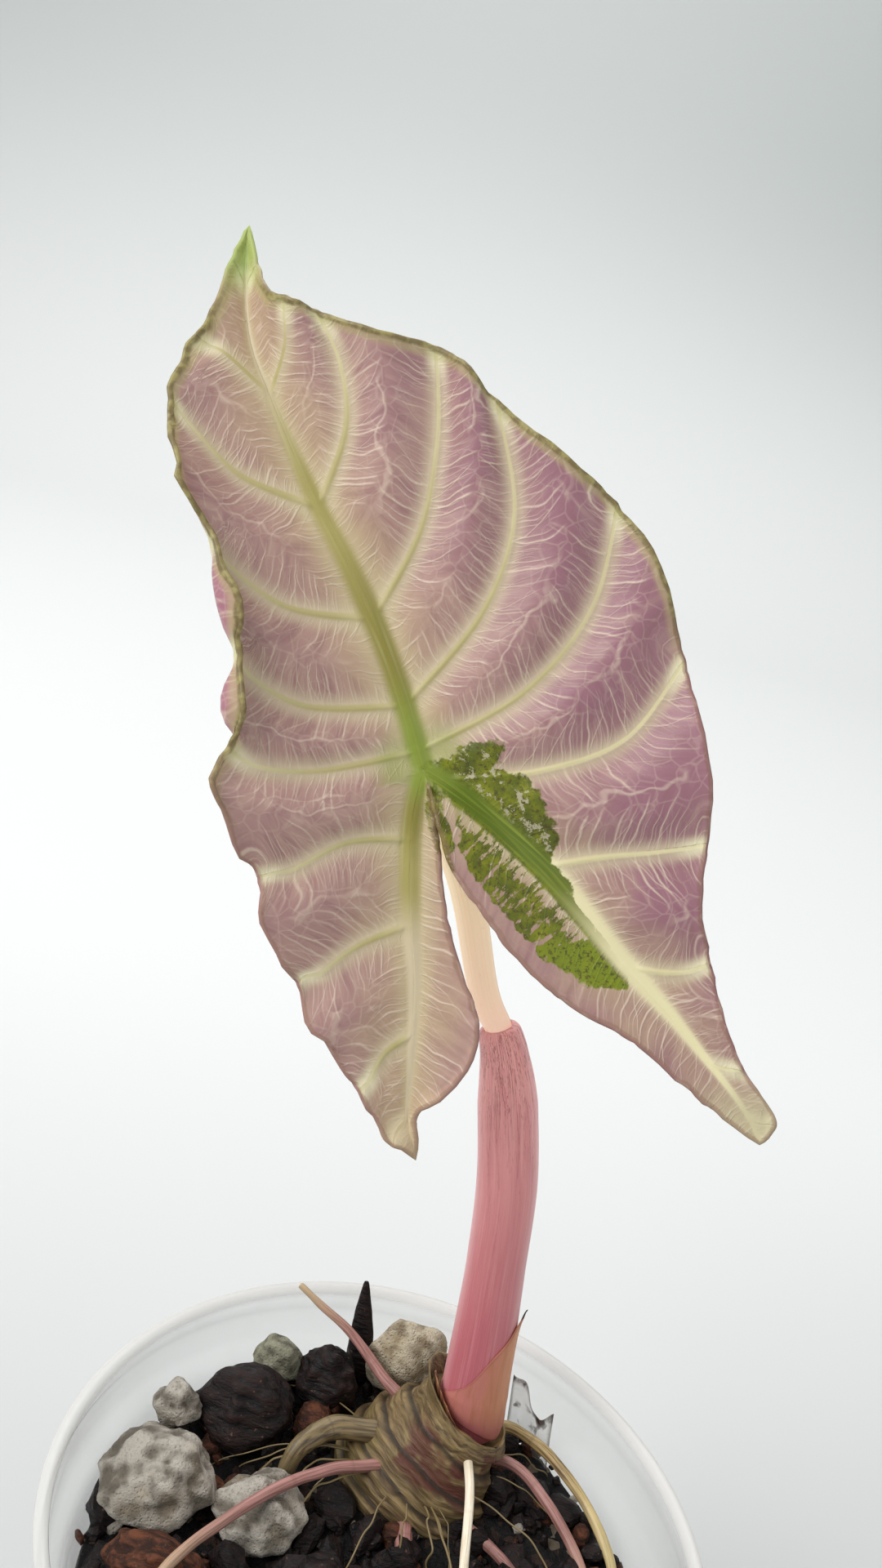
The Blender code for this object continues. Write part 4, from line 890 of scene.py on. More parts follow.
def joining_vein(leaf, place, sector, side, column):
    """A wavy line midway between two primary veins, and a faint net beside it."""
    sway = (leaf.noise(place, 170.0, 2.0) - 0.5) * 6.0
    away = abs((1 - sector) * side * 5.0 + sway)
    line = away.step(0.36, 0.05) * leaf.noise(place, 90.0, 2.0).step(0.40, 0.60)
    warped = leaf.vector("ADD", place, leaf.joined(sway * 0.0006, sway * -0.0005, 0.0))
    net = leaf.cells(warped, 430.0, "DISTANCE_TO_EDGE").step(0.09, 0.0) * sector.step(0.35, 0.8)
    return (line * 0.5 + net * 0.2) * column.step(0.1, 0.3)


def leaf_colours(lines, streak, near, slow):
    """Mauve blade: more purple to the right and between veins, olive-cream beside the ribs."""
    across, _, under = near.leaf
    right = (across + (slow - 0.5) * 20.0).step(2.0, 32.0)
    between = (near.sector + (slow - 0.5) * 0.8).step(0.2, 1.0) * near.column.step(0.15, 0.5)
    purple = (right * 0.8 + between * 0.28).capped()
    base = purple.blend((180, 144, 134), (156, 110, 122))
    base = base.layer(streak.step(0.46, 0.70) * 0.5, (146, 102, 106))
    base = base.layer(streak.step(0.47, 0.28) * 0.35, (198, 166, 150))
    cloud = (near.rib_distance + (slow - 0.5) * 9.0).step(10.0, 0.5)
    base = base.layer(cloud * (0.55 - right * 0.25), (196, 176, 132))
    base = base.layer(under * 0.6, (170, 104, 130))
    return base.layer(lines * (0.8 - near.rib_mask * 0.7), (226, 204, 184))


def rib_colours(leaf, base, near, stripes):
    """Primary veins with a soft pale halo, and ribs that go from green through khaki to cream."""
    across, lengthwise, _ = near.leaf
    halo = near.distance.step(near.width * 1.2 + 1.9, near.width * 0.4) * 0.62
    base = base.layer(halo * near.column.step(0.0, 0.1), (216, 204, 168))
    blotch = near.edge.step(5.4, 1.0) * near.distance.step(2.0, 0.3)
    base = base.layer(blotch * 0.75, (240, 232, 196))
    core = near.distance.step(near.width * 0.85, near.width * 0.25)
    core_tint = near.column.step(0.75, 0.2).blend((216, 206, 158), (178, 168, 104))
    low_right = lengthwise.step(8.0, -8.0) * across.step(5.0, 12.0)
    core_tint = core_tint.layer(low_right * 0.8, (238, 228, 178))
    base = base.layer(core * 0.75, core_tint)
    far = leaf.vector("LENGTH", leaf.joined(across, lengthwise, 0.0), output="Value")
    far = far * lengthwise.step(0.0, -2.0, 1.0, 2.6)
    base = base.layer(far.step(8.5, 2.5) * 0.8, (140, 154, 66))
    tint = far.step(4.0, 16.0).blend((132, 148, 50), (138, 130, 54))
    tint = tint.layer(far.step(16.0, 36.0), (166, 156, 90))
    tint = tint.layer(far.step(40.0, 64.0), (208, 192, 160))
    on_right = across.step(5.0, 10.0) * lengthwise.step(2.0, -4.0)
    tint = tint.layer(on_right, (238, 228, 182))
    tint = tint.layer(stripes.step(0.5, 0.8) * 0.25, (214, 208, 160))
    # pale bands beside the ribs: partly the ribs' own pale tissue, partly a painted highlight on their
    # flanks
    flank = (near.rib_share + on_right * 0.8).step(3.0, 1.0) * (on_right * 0.25 + 0.5)
    base = base.layer(flank, on_right.blend((208, 194, 152), (236, 224, 186)))
    return base.layer(near.rib_mask * 0.95, tint), core


def patch_colours(leaf, base, near, stripes, place):
    """Green patch with a jagged edge; its lower half is flecked, with bare streaks beside the costa."""
    lengthwise = near.leaf[1]
    rib_along, rib_distance, rib_number = near.rib
    speckle = leaf.noise(place, 1700.0, 4.0, 0.7)
    jagged = near.patch + (leaf.noise(place, 900.0) - 0.5) * 1.7 + (leaf.cells(place, 420.0) - 0.4) * 0.9
    combed = leaf.stretched(rib_along * 0.95, rib_distance * 0.24, 3.0, 4.0, 0.62)
    low_side = rib_number.step(4.0, 5.5) * lengthwise.step(-3.0, -9.0)
    beside = rib_distance.step(4.4, 2.6) * 0.13 - lengthwise.step(-28.0, -31.0) * 0.5
    bare = low_side * (combed + beside + (speckle - 0.5) * 0.35).step(0.54, 0.62)
    bare = bare * near.rib_share.step(1.0, 1.3)
    rib_end = near.rib_mask * lengthwise.step(-20.0, -34.0)
    mask = jagged.step(-0.15, 0.2) * (1 - bare * 0.9) * (1 - rib_end)
    green = leaf.noise(place, 420.0).step(0.35, 0.7).blend((84, 94, 0), (126, 132, 6))
    green = green.layer(lengthwise.step(-24.0, -30.0) * 0.7, (130, 146, 18))
    green = green.layer(speckle.step(0.50, 0.62) * 0.8, (66, 60, 12))
    flecks = (leaf.noise(place, 620.0, 4.0, 0.75) + rib_distance.step(6.0, 3.0) * 0.04).step(0.58, 0.63)
    flecks = flecks * (1 - low_side) * (1 - near.rib_mask)
    green = green.layer(flecks * 0.8, (190, 180, 154))
    on_rib = stripes.step(0.4, 0.7).blend((86, 106, 8), (134, 148, 46))
    on_rib = on_rib.layer(lengthwise.step(-5.0, -0.5) * 0.6, (138, 152, 58))
    on_rib = on_rib.layer(lengthwise.step(-16.0, -28.0) * 0.7, (124, 126, 40))
    green = green.layer(near.rib_mask, on_rib)
    return base.layer(mask * 0.97, green)


def leaf_finish():
    """Reads what the blade's points and corners carry, and lays veins, colours and edge over it."""
    leaf = Finish("leaf_blade", Specular_IOR_Level=0.35, Coat_Weight=0.05, Coat_Roughness=0.35)
    place = leaf.place()
    along, signed, number = leaf.attribute("vein_place")
    rib = leaf.attribute("rib_place")
    rib_along, rib_distance, rib_number = rib
    edge, width, patch = leaf.attribute("edge_place")
    leaf_place = leaf.attribute("leaf_place")
    across, lengthwise, _ = leaf_place
    rib_share = leaf.attribute("ridge_place")[0]
    sector, column, side = leaf.attribute("cell_place")
    distance = abs(signed)
    slow = leaf.noise(place, 130.0, 2.0)
    quick = leaf.noise(place, 700.0)
    near = SimpleNamespace(leaf=leaf_place, rib=rib, sector=sector, column=column, distance=distance,
                           rib_distance=rib_distance, rib_share=rib_share, edge=edge, width=width,
                           patch=patch, rib_mask=rib_share.step(1.4, 0.5))

    from_veins = vein_lines(leaf, along, distance, number + side * 0.31)
    outward = rib_number.step(0.2, 0.8, -1.0, 1.0)
    from_ribs = vein_lines(leaf, rib_along * outward, rib_distance, rib_number + 70.0)
    near_rib = (rib_distance - distance * 1.1 + (slow - 0.5) * 4.0).step(1.4, -1.4)
    lines = from_veins * (1 - near_rib) + from_ribs * near_rib
    lines = lines * (slow + 0.45) * (sector + (quick - 0.5) * 0.5).step(1.1, 0.7)
    lines = (lines + joining_vein(leaf, place, sector, side, column)).capped()
    combed = leaf.stretched((along - distance * 0.5) * 0.7, distance * 0.13, number + side)
    rib_combed = (rib_along * outward - rib_distance * 0.5) * 0.7
    rib_combed = leaf.stretched(rib_combed, rib_distance * 0.1, rib_number)
    streak = combed * (1 - near_rib) + rib_combed * near_rib
    stripes = leaf.stretched(rib_share * 3.0, rib_along * 0.05, rib_number, 2.0)

    base = leaf_colours(lines, streak, near, slow)
    base, core = rib_colours(leaf, base, near, stripes)
    base = base.layer((lengthwise + (slow - 0.5) * 4.0).step(68.0, 75.0) * 0.9, (146, 184, 82))
    right_end = lengthwise.step(-50.0, -59.0) * across.step(5.0, 15.0)
    base = base.layer(right_end * 0.8, (196, 186, 150))
    left_end = lengthwise.step(-41.0, -47.0) * across.step(-5.0, -12.0)
    base = base.layer(left_end * 0.6, (222, 196, 158))
    base = patch_colours(leaf, base, near, stripes, place)

    ragged = edge + leaf.noise(place, 330.0) - 0.5
    upper = lengthwise.step(-2.0, 14.0)
    base = base.layer(ragged.step(2.2, 1.0) * upper * 0.45, (186, 180, 116))
    band = ragged.step(upper * 0.35 + 0.5, upper * 0.15 + 0.15)
    upper_tint = quick.step(0.4, 0.65).blend((112, 98, 54), (158, 148, 90))
    band_tint = upper.blend((140, 104, 84), upper_tint)
    below_tip = lengthwise.step(73.0, 66.0)
    base = base.layer(band * (upper * 0.35 + 0.5) * below_tip, band_tint)
    relief = (lines * 0.5 + streak * 0.4) * (1 - near.rib_mask) * (1 - core)
    return leaf.finished(relief + leaf.noise(place, 1700.0, 2.0) * 0.08, 0.16,
                         Base_Color=base, Roughness=lines.step(0.0, 1.0, 0.44, 0.34))


leaf_material = leaf_finish()
print("leaf material nodes:", len(leaf_material.node_tree.nodes))

# %% Build the leaf


def build_leaf():
    """Joins front, edge bead and back: the bead's rows lie on a half circle between the two faces."""
    count = len(middle)
    edges = open_edges(blade_triangles, count)
    rim = np.unique(edges)
    slot_of = np.full(count, -1)
    slot_of[rim] = np.arange(len(rim))
    outward = np.zeros_like(middle)
    step = middle[edges[:, 1]] - middle[edges[:, 0]]
    away = np.cross(step, normals[edges[:, 0]])
    np.add.at(outward, edges[:, 0], away)
    np.add.at(outward, edges[:, 1], away)
    outward = unit(outward)[rim]
    half = half_thick[rim][:, None]
    angles = np.radians((50.0, 18.0, -18.0, -50.0))
    rows = [middle[rim] + (outward * np.cos(a) + normals[rim] * np.sin(a)) * half for a in angles]
    points = np.concatenate([front, back] + rows)
    beads = [2 * count + k * len(rim) + slot_of[edges] for k in range(len(rows))]
    levels = [edges, *beads, edges + count]
    bead_faces = [np.stack([high[:, 1], high[:, 0], low[:, 0], low[:, 1]], axis=-1)
                  for high, low in zip(levels, levels[1:])]
    faces = [blade_triangles, blade_triangles[:, ::-1] + count, *bead_faces]
    source = np.concatenate([np.arange(count), np.arange(count)] + [rim] * len(rows))
    under = np.concatenate([np.zeros(count), np.ones(count)] + [np.full(len(rim), 0.4)] * len(rows))
    values = {
        "edge_place": xyz(carried[:, 0], carried[:, 2], patch_distance)[source],
        "leaf_place": xyz(middle[source, 0], middle[source, 1], under),
        "ridge_place": xyz(rib_away / rib_half, 0.0, 0.0)[source]}
    band = sum(len(part) for part in bead_faces) * 4
    corners = {}
    for label, inner in zip(("vein_place", "rib_place", "cell_place"), blade_corners):
        corners[label] = np.concatenate([inner.reshape(-1, 3), inner[:, ::-1].reshape(-1, 3),
                                         np.tile((0.0, NO_VEIN, 0.0), (band, 1))])
    add_piece("leaf", blade_to_world(points), faces, leaf_material, "blade_pink", ["leaf_blade"], values,
              corners)


build_leaf()

# %% [markdown]
# ## Petiole and sheath
# The petiole is a round stalk, cream where it leaves the blade and peach lower down. The sheath is the pink
# base of an older leaf that wraps it: a flattened tube with a rounded shoulder and a mouth for the petiole.
# Both are tubes along a smooth path, and their materials read the length along it and the turn round it.

# %% Petiole and sheath shapes
SHEATH_PATH = [(12.8, 27.6, 88.8), (12.3, 27.6, 92.6), (11.2, 27.5, 98), (9.9, 27.2, 111.3),
               (8.6, 26.8, 123), (6.4, 26, 138.8), (2.8, 25.2, 153.4), (0.2, 24.8, 161.6),
               (-1.8, 24.8, 165.8)]
SHEATH_WIDTHS = (3.9, 4.8, 5.3, 5, 4.7, 4.7, 4.5, 3.6, 3.05)
SHEATH_FLATNESS = 0.84
SHEATH_COLUMNS = 96
BORE_PLACE = 6.4
BORE_RADIUS = 2.1
PETIOLE_PATH = [(-5.4, 25.2, 171), (-11.1, 27.2, 184), (-16.4, 28.6, 192.4), (-20.2, 27.9, 198.4)]
PETIOLE_RADII = (1.9, 1.95, 1.95, 2.0, 2.2, 2.4, 2.4, 2.3)


def tube_values(rows, columns):
    """Share of the length, cosine and sine of the turn for each point of a tube and of its two ends."""
    share = np.repeat(np.linspace(0, 1, rows), columns)
    turn = np.tile(around(columns), rows)
    return np.concatenate([xyz(share, np.cos(turn), np.sin(turn)), [[0.0, 0.0, 0.0], [1.0, 0.0, 0.0]]])


def wrapped(turns, across, along):
    """Places in the noise for the skin of a tube: a circle of one radius, moved along."""
    return xyz(across * np.cos(turns), across * np.sin(turns), along)


def petiole_route():
    """The petiole goes up inside the sheath and on to the back of the blade's junction."""
    inside = smooth_curve(SHEATH_PATH, (BORE_PLACE + 0.1, 7.0, 7.6, 8.0))
    return [*inside, *PETIOLE_PATH, JUNCTION - BLADE_OUT * 1.3]


def build_petiole(finish):
    """A round tube with faint lengthwise flutes."""
    route = petiole_route()
    places = np.linspace(0, len(route) - 1, 130)
    radii = straight(PETIOLE_RADII, places)
    turns = around(56)
    flutes = 1 + 0.012 * np.cos(11 * turns) + 0.008 * np.cos(17 * turns + 1.0)
    rings = tube(smooth_curve(route, places), radii[:, None] * flutes, turns)
    add_piece("petiole_stalk", *closed_rings(rings), finish, "petiole_cream", ["petiole"],
              {"tube_place": tube_values(len(places), len(turns))})


def build_sheath(finish):
    """A flattened tube with fine lengthwise ridges, a round shoulder and a mouth with a bore."""
    places = np.linspace(0, 8, 170)
    turns = around(SHEATH_COLUMNS)
    path = smooth_curve(SHEATH_PATH, places)
    widths = straight(SHEATH_WIDTHS, places)
    widths = np.minimum(widths, 2.35 + 1.6 * np.sqrt(8 - places))
    sample = wrapped(turns, 3.2, places[:, None] * 1.1)
    ridges = 0.05 * rough_noise(sample * (1.0, 1.0, 0.35), 3, 3) + 0.05 * soft_noise(sample * 0.5, 9)
    rings = tube(path, widths[:, None] + ridges, turns, SHEATH_FLATNESS)
    inside = smooth_curve(SHEATH_PATH, np.linspace(8, BORE_PLACE, 14))
    bore = tube(inside[::-1], np.full((len(inside), 1), BORE_RADIUS), turns)[::-1]
    lip = 0.5 * (rings[-1:] + bore[:1]) + 0.12 * unit(path[-1] - path[-2])
    rings = np.concatenate([rings, lip, bore])
    add_piece("sheath_tube", *closed_rings(rings), finish, "sheath_pink", ["sheath"],
              {"tube_place": tube_values(len(rings), SHEATH_COLUMNS)})


# %% Petiole and sheath materials


def stalk_finish():
    """Cream above and peach below, with faint lengthwise lines; its front has a painted glow."""
    stalk = Finish("petiole", Roughness=0.38, Coat_Weight=0.15, Coat_Roughness=0.3, Emission_Strength=0.42)
    share, cosine, sine = stalk.attribute("tube_place")
    place = stalk.place()
    grain = stalk.stretched(cosine * 9.0, sine * 9.0, share * 2.2)
    base = share.step(0.3, 0.75).blend((238, 198, 176), (244, 226, 188))
    base = base.layer(grain.step(0.45, 0.75) * 0.3, (234, 192, 158))
    base = base.layer(stalk.noise(place, 900.0, 2.0).step(0.62, 0.75) * 0.25, (214, 170, 140))
    # painted glow: emission in the stalk's own colour on its front stands in for light shining through it
    painted_glow = sine.step(-0.6, 0.3, 0.2, 1.0).blend((0, 0, 0), base)
    return stalk.finished(grain, 0.12, Base_Color=base, Emission_Color=painted_glow)


def sheath_finish():
    """Rose pink with pale edges; a fine net of red-brown streaks covers its upper part."""
    sheath = Finish("sheath", Roughness=0.40, Coat_Weight=0.15, Coat_Roughness=0.3, Emission_Strength=0.2)
    share, cosine, sine = sheath.attribute("tube_place")
    place = sheath.place()
    long_grain = sheath.stretched(cosine * 22.0, sine * 22.0, share * 5.0)
    patchy = sheath.stretched(cosine * 5.0, sine * 5.0, share * 9.0, 2.0)
    base = share.step(0.25, 0.85).blend((206, 114, 124), (236, 166, 160))
    base = base.layer(patchy.step(0.4, 0.7) * 0.35, (198, 104, 116))
    base = base.layer(abs(cosine).step(0.70, 1.0) * 0.55, (242, 184, 186))
    base = base.layer(long_grain.step(0.48, 0.75) * 0.4, (238, 172, 172))
    net_place = sheath.joined(cosine * 12.0, sine * 12.0, share * 16.0 + (patchy - 0.5) * 7.0)
    net = sheath.cells(net_place, 1.6, "DISTANCE_TO_EDGE").step(0.04, 0.0)
    hair_noise = sheath.stretched(cosine * 5.0, sine * 5.0, share * 6.0 + 3.0, 4.0, 0.6)
    flow_noise = sheath.stretched(cosine * 9.0, sine * 9.0, share * 2.5)
    hairs = abs(hair_noise - 0.5).step(0.012, 0.002) + abs(flow_noise - 0.48).step(0.012, 0.002)
    net = (net * 0.5 + hairs).capped()
    upper = (share + (patchy - 0.5) * 0.25).step(0.52, 0.84)
    base = base.layer(net * (upper * 0.7 + 0.1), (140, 70, 64))
    base = base.layer(share.step(0.16, 0.03) * 0.6, (158, 74, 92))
    # painted glow: the upper part gives off a little light in its own colour, standing in for light shining
    # through it
    painted_glow = share.step(0.45, 0.85).blend((0, 0, 0), base)
    return sheath.finished(long_grain * 0.6 + net * -0.25 * upper + sheath.noise(place, 1400.0) * 0.2, 0.14,
                           Base_Color=base, Emission_Color=painted_glow)


build_petiole(stalk_finish())
build_sheath(sheath_finish())

# %% [markdown]
# ## The dry bract
# A bract wraps the sheath's foot and rises to a dark point on the right. It is a thin shell: for each turn
# round the sheath it runs from the crown up to a height that grows from left to right, so its edge is a
# slanting line. It has dried to orange-tan.

# %% Bract
CORM_FOOT = np.array((1.5, 24.0, 68.0))
CROWN = np.array((11.0, 27.6, 92.0))
CROWN_RADIUS = 7.7
BRACT_LOW = 97.0
BRACT_HIGH = 114.0


def bract_shell():
    """Outer and inner grid of the bract, a little off the sheath's surface."""
    share = np.linspace(0, 1, 70)[:, None]
    rise = np.linspace(0, 1, 40)[None]
    turn = np.radians(-205.0 + 215.0 * share)
    edge = 0.25 * np.sin(share * 23.0) * rise + 1.6 * ease(share, 0.93, 0.985)
    top = BRACT_LOW + (BRACT_HIGH - BRACT_LOW) * (0.5 + 0.5 * np.cos(turn)) ** 1.15 + edge
    slope = (CROWN[0] - CORM_FOOT[0]) / (CROWN[2] - CORM_FOOT[2])
    foot = CROWN[2] + 0.9 - CROWN_RADIUS * np.cos(turn) * slope
    height = foot + (top - foot) * rise
    places = np.interp(height, [point[2] for point in SHEATH_PATH], range(len(SHEATH_PATH)))
    centre = smooth_curve(SHEATH_PATH, places.ravel()).reshape(*places.shape, 3)
    radius = straight(SHEATH_WIDTHS, places)
    gap = 0.12 + 1.3 * rise ** 9 * share ** 12
    outward = xyz(np.cos(turn), np.sin(turn) * SHEATH_FLATNESS, 0.0)
    inner = centre + outward * (radius + gap)[..., None]
    outer = centre + outward * (radius + gap + 0.18 + 0.3 * (1 - rise))[..., None]
    return inner, outer, xyz(share, rise, turn)


def bract_finish():
    """Tan with a brown grain, pink at its foot, with a dark point."""
    bract = Finish("bract", Roughness=0.5)
    share, rise, turn = bract.attribute("bract_place")
    grain = bract.stretched(turn * 4.0, rise * 1.6, 0.0, 4.0)
    base = (share + (grain - 0.5) * 0.3).step(0.45, 0.85).blend((206, 128, 118), (216, 148, 108))
    base = base.layer(grain.step(0.45, 0.7) * 0.4, (168, 104, 70))
    base = base.layer(rise.step(0.93, 1.0) * 0.5, (150, 84, 70))
    base = base.layer(rise.step(0.40, 0.0) * 0.7, (160, 82, 92))
    base = base.layer(share.step(0.91, 0.96) * rise.step(0.86, 0.94), (42, 28, 26))
    return bract.finished(grain, 0.2, Base_Color=base)


add_sheet("bract_wrap", *bract_shell(), "bract_place", bract_finish(), "bract_tan", ["bract"])

# %% [markdown]
# ## The corm
# The corm is a short thick stem. Every leaf that it has dropped left a ring, so its skin is a stack of
# fibrous scars, olive-tan, with painted shade in the grooves between them. It is a turned shape along a
# leaning axis, with a collar round its crown, where the last leaf base was torn off, and a stump of that
# base on the left.

# %% Corm shape
CORM_RADIUS = 13.2
SOCKET_RADIUS = 6.1
SOCKET_SHIFT = 0.9
SCAR_RINGS = 6.0
CORM_ROWS = 190
CORM_COLUMNS = 200
CORM_UP = unit(CROWN - CORM_FOOT)
CORM_SIDE = unit(np.array((1.0, 0.0, 0.0)) - CORM_UP * CORM_UP[0])
CORM_DEPTH = np.cross(CORM_UP, CORM_SIDE)


def corm_radius(share, turn):
    """The outline of the corm plus scars: steep steps that wander up and down round the corm."""
    outline = np.interp(share, (0.0, 0.10, 0.26, 0.45, 0.62, 0.78, 0.90, 1.0),
                        (5.0, 9.6, 12.6, CORM_RADIUS, 11.9, 9.9, 8.2, CROWN_RADIUS))
    wander = 0.05 * np.sin(turn + 0.6) + 0.03 * soft_noise(wrapped(turn, 1.3, share * 2.0), 4)
    step = (share + wander) * SCAR_RINGS
    saw = step - np.floor(step)
    scars = 1.35 * (saw ** 1.4) * (1 - ease(saw, 0.84, 1.0)) - 0.4
    fibres = 0.05 * rough_noise(wrapped(turn, 5.0, share * 42.0), 3, 8)
    lumps = 0.4 * np.sin(2.0 * turn + 4.0 * share) + 0.15 * np.sin(5.0 * turn - 7.0 * share)
    fade = np.minimum(share / 0.2, 1.0) * np.minimum((1.0 - share) / 0.06, 1.0)
    # mask for the painted shade: near each step between two scars
    groove = ease(saw, 0.86, 1.0) + 1 - ease(saw, 0.0, 0.12)
    return outline + fade * (scars + lumps + fibres), groove * fade


def build_corm(finish):
    """Rings up the corm, over its crown and down into the hollow for the sheath."""
    share = np.linspace(0, 1, CORM_ROWS)[:, None]
    turn = around(CORM_COLUMNS)[None]
    radius, groove = corm_radius(share, turn)
    length = np.linalg.norm(CROWN - CORM_FOOT)
    circle = circles(CORM_SIDE, CORM_DEPTH, turn)
    rings = CORM_FOOT + CORM_UP * (length * share)[..., None] + circle * radius[..., None]
    mouth = CROWN + CORM_SIDE * SOCKET_SHIFT
    lift = 0.7 + 0.25 * np.sin(3 * turn) + 0.15 * np.sin(7 * turn + 1.0)
    collar = [CROWN + CORM_UP * lift[..., None] + circle * (CROWN_RADIUS - 0.3),
              mouth + CORM_UP * (lift + 0.1)[..., None] + circle * (SOCKET_RADIUS + 0.75),
              mouth + CORM_UP * (lift * 0.2)[..., None] + circle * (SOCKET_RADIUS + 0.3)]
    hollow = np.array(SHEATH_PATH[0]) - (0.0, 0.0, 0.85) + xyz(np.cos(turn), np.sin(turn), 0.0) * 4.4
    rings = np.concatenate([rings, *collar, hollow])
    values = tube_values(len(rings), CORM_COLUMNS)
    groove_shades = np.zeros_like(values)
    groove_shades[:groove.size, 0] = groove.ravel()
    add_piece("corm_body", *closed_rings(rings), finish, "corm_skin", ["corm"],
              {"tube_place": values, "groove": groove_shades})


def corm_finish():
    """Olive-tan skin: level fibres above, upright ones below, painted shade in the grooves between scars."""
    corm = Finish("corm_skin", Roughness=0.6)
    share, cosine, sine = corm.attribute("tube_place")
    place = corm.place()
    slow = corm.stretched(cosine * 1.3, sine * 1.3, share * 2.2, 2.0)
    height = share + sine * 0.05 + (slow - 0.5) * 0.14
    fibre = corm.stretched(cosine * 2.2, sine * 2.2, height * 34.0, 4.0, 0.55)
    upright = corm.stretched(cosine * 16.0, sine * 16.0, share * 5.0, 3.0, 0.6)
    low = (share + (slow - 0.5) * 0.3).step(0.42, 0.26)
    grain = fibre * (1 - low) + upright * low
    base = grain.step(0.28, 0.72).blend((78, 58, 38), (140, 118, 80))
    base = base.layer(corm.noise(place, 130.0, 2.0).step(0.42, 0.62) * 0.35, (104, 94, 46))
    lip = (fibre + (slow - 0.5)).step(0.5, 0.8) * (1 - low)
    base = base.layer(lip * 0.4, (174, 150, 104))
    scar = share.step(0.60, 0.68) * share.step(0.95, 0.88) * sine.step(-0.35, -0.8)
    scar = scar * corm.noise(place, 170.0, 2.0).step(0.40, 0.52)
    base = base.layer(scar * 0.85, (88, 42, 34))
    base = base.layer(share.step(0.30, 0.05) * 0.7, (46, 32, 20))
    # painted shade: the grooves between the scars are darkened
    base = base.layer(corm.attribute("groove")[0].step(0.15, 1.0) * 0.85, (36, 27, 16))
    base = base.layer(share.step(0.972, 0.99) * 0.5, (150, 124, 78))
    return corm.finished(grain, 0.45, Base_Color=base)


corm_material = corm_finish()
build_corm(corm_material)

# %% [markdown]
# The crown keeps a torn collar, which stands higher on its left, and the stump of an older leaf base, a
# tan tongue between the collar and the sheath. Both are thin sheets bent round the crown.

# %% Collar and stump


def bent_sheet(start, end, radius, foot, heights, thickness, ragged, seed):
    """A sheet bent round the crown from one turn to another: its height goes through the given heights."""
    share = np.linspace(0, 1, 120)[:, None]
    rise = np.linspace(0, 1, 16)[None]
    turn = np.radians(start + (end - start) * share)
    top = smooth_curve(np.array(heights, float)[:, None], share[:, 0] * (len(heights) - 1))
    top = top + ragged * rough_noise(xyz(share * 14.0, 0.0, seed), 3, seed)
    lean = 0.16 * top * rise ** 2
    mouth = CROWN + CORM_SIDE * SOCKET_SHIFT * 0.5
    upward = unit(CORM_UP + (-0.5, 0.0, 0.4))
    sheets = []
    for offset in (0.0, thickness):
        reach = radius + lean + offset * (1 - 0.6 * rise)
        sheets.append(mouth + upward * (foot + (top - foot) * rise)[..., None]
                      + circles(CORM_SIDE, CORM_DEPTH, turn) * reach[..., None])
    return *sheets, xyz(0.86 + 0.1 * rise, np.cos(turn), np.sin(turn))


def stump_finish():
    """Tan with a long brown grain."""
    stump = Finish("stump", Roughness=0.5)
    share, cosine, sine = stump.attribute("tube_place")
    grain = stump.stretched(cosine * 14.0, sine * 14.0, share * 6.0, 4.0)
    base = grain.step(0.35, 0.7).blend((104, 60, 40), (176, 124, 86))
    return stump.finished(grain, 0.3, Base_Color=base)


collar_sheet = bent_sheet(-40.0, 320.0, 7.3, -1.4, (0.6, 1.0, 2.6, 4.4, 3.8, 1.4, 0.8), 0.9, 0.4, 61)
stump_sheet = bent_sheet(150.0, 262.0, 6.3, -0.6, (0.9, 3.4, 4.6, 4.0, 2.2, 0.4), 0.45, 0.25, 62)
add_sheet("crown_collar", *collar_sheet, "tube_place", corm_material, "corm_skin")
add_sheet("leaf_stump", *stump_sheet, "tube_place", stump_finish(), "corm_skin")

# %% [markdown]
# ## Roots
# Fleshy roots arch out of the corm and dive into the mix. Each is a tapered tube with slight knots. Pink,
# cream, yellow and olive ones share one material recipe with their own two colours.

# %% Roots
ROOT_ROWS = 150
ROOT_COLUMNS = 28
ROOTS = {
    "root_back_pink": ([(3, 30, 88), (-2.2, 32.5, 89.4), (-7, 36, 91.6), (-12.4, 38.6, 94),
                        (-17.6, 40.2, 96), (-20.6, 41.2, 97.4)], 1.1, 0.5, "pink_root"),
    "root_left_pink": ([(1, 20, 85), (-9, 14.2, 86.6), (-17, 6.4, 87.6), (-25, -2.6, 86.4),
                        (-29.6, -10, 84.4), (-31, -14, 75)], 1, 0.75, "pink_root"),
    "root_left_olive": ([(3, 25, 86), (-8.4, 22.4, 87.4), (-13.2, 18.4, 87.2), (-15, 16.4, 84.8),
                         (-15.4, 15.8, 78)], 2.1, 1.3, "olive_root"),
    "root_front_cream": ([(12.6, 22, 90), (13.6, 13.4, 89.4), (14.4, 6, 85.6), (15.2, 0.5, 80),
                          (15.6, -3, 73)], 0.75, 0.7, "cream_root"),
    "root_right_pink": ([(12, 27, 84), (20.6, 25.8, 85.8), (27.4, 20.6, 84.6), (33.6, 13.4, 81.6),
                         (36.6, 7, 77.4), (37.4, 3.6, 72.6)], 0.95, 0.8, "pink_root"),
    "root_right_yellow": ([(12, 30, 86), (19.6, 31.6, 87.6), (26.2, 28.8, 87), (33, 23.4, 84.8),
                           (38.4, 15.6, 81.8), (40.6, 9.6, 76.6)], 1, 0.8, "yellow_root"),
    "root_low_pink": ([(8, 22, 79), (17.4, 14.2, 80.6), (23, 9.8, 80.2), (28.4, 4.6, 77.2),
                       (31, 1.6, 73)], 0.95, 0.75, "pink_root"),
    "root_short_red": ([(4, 22, 79), (5.4, 10.6, 80.2), (5.6, 6.8, 78.4), (5.8, 4.4, 73.6)],
                       1.5, 1.2, "pink_root")}
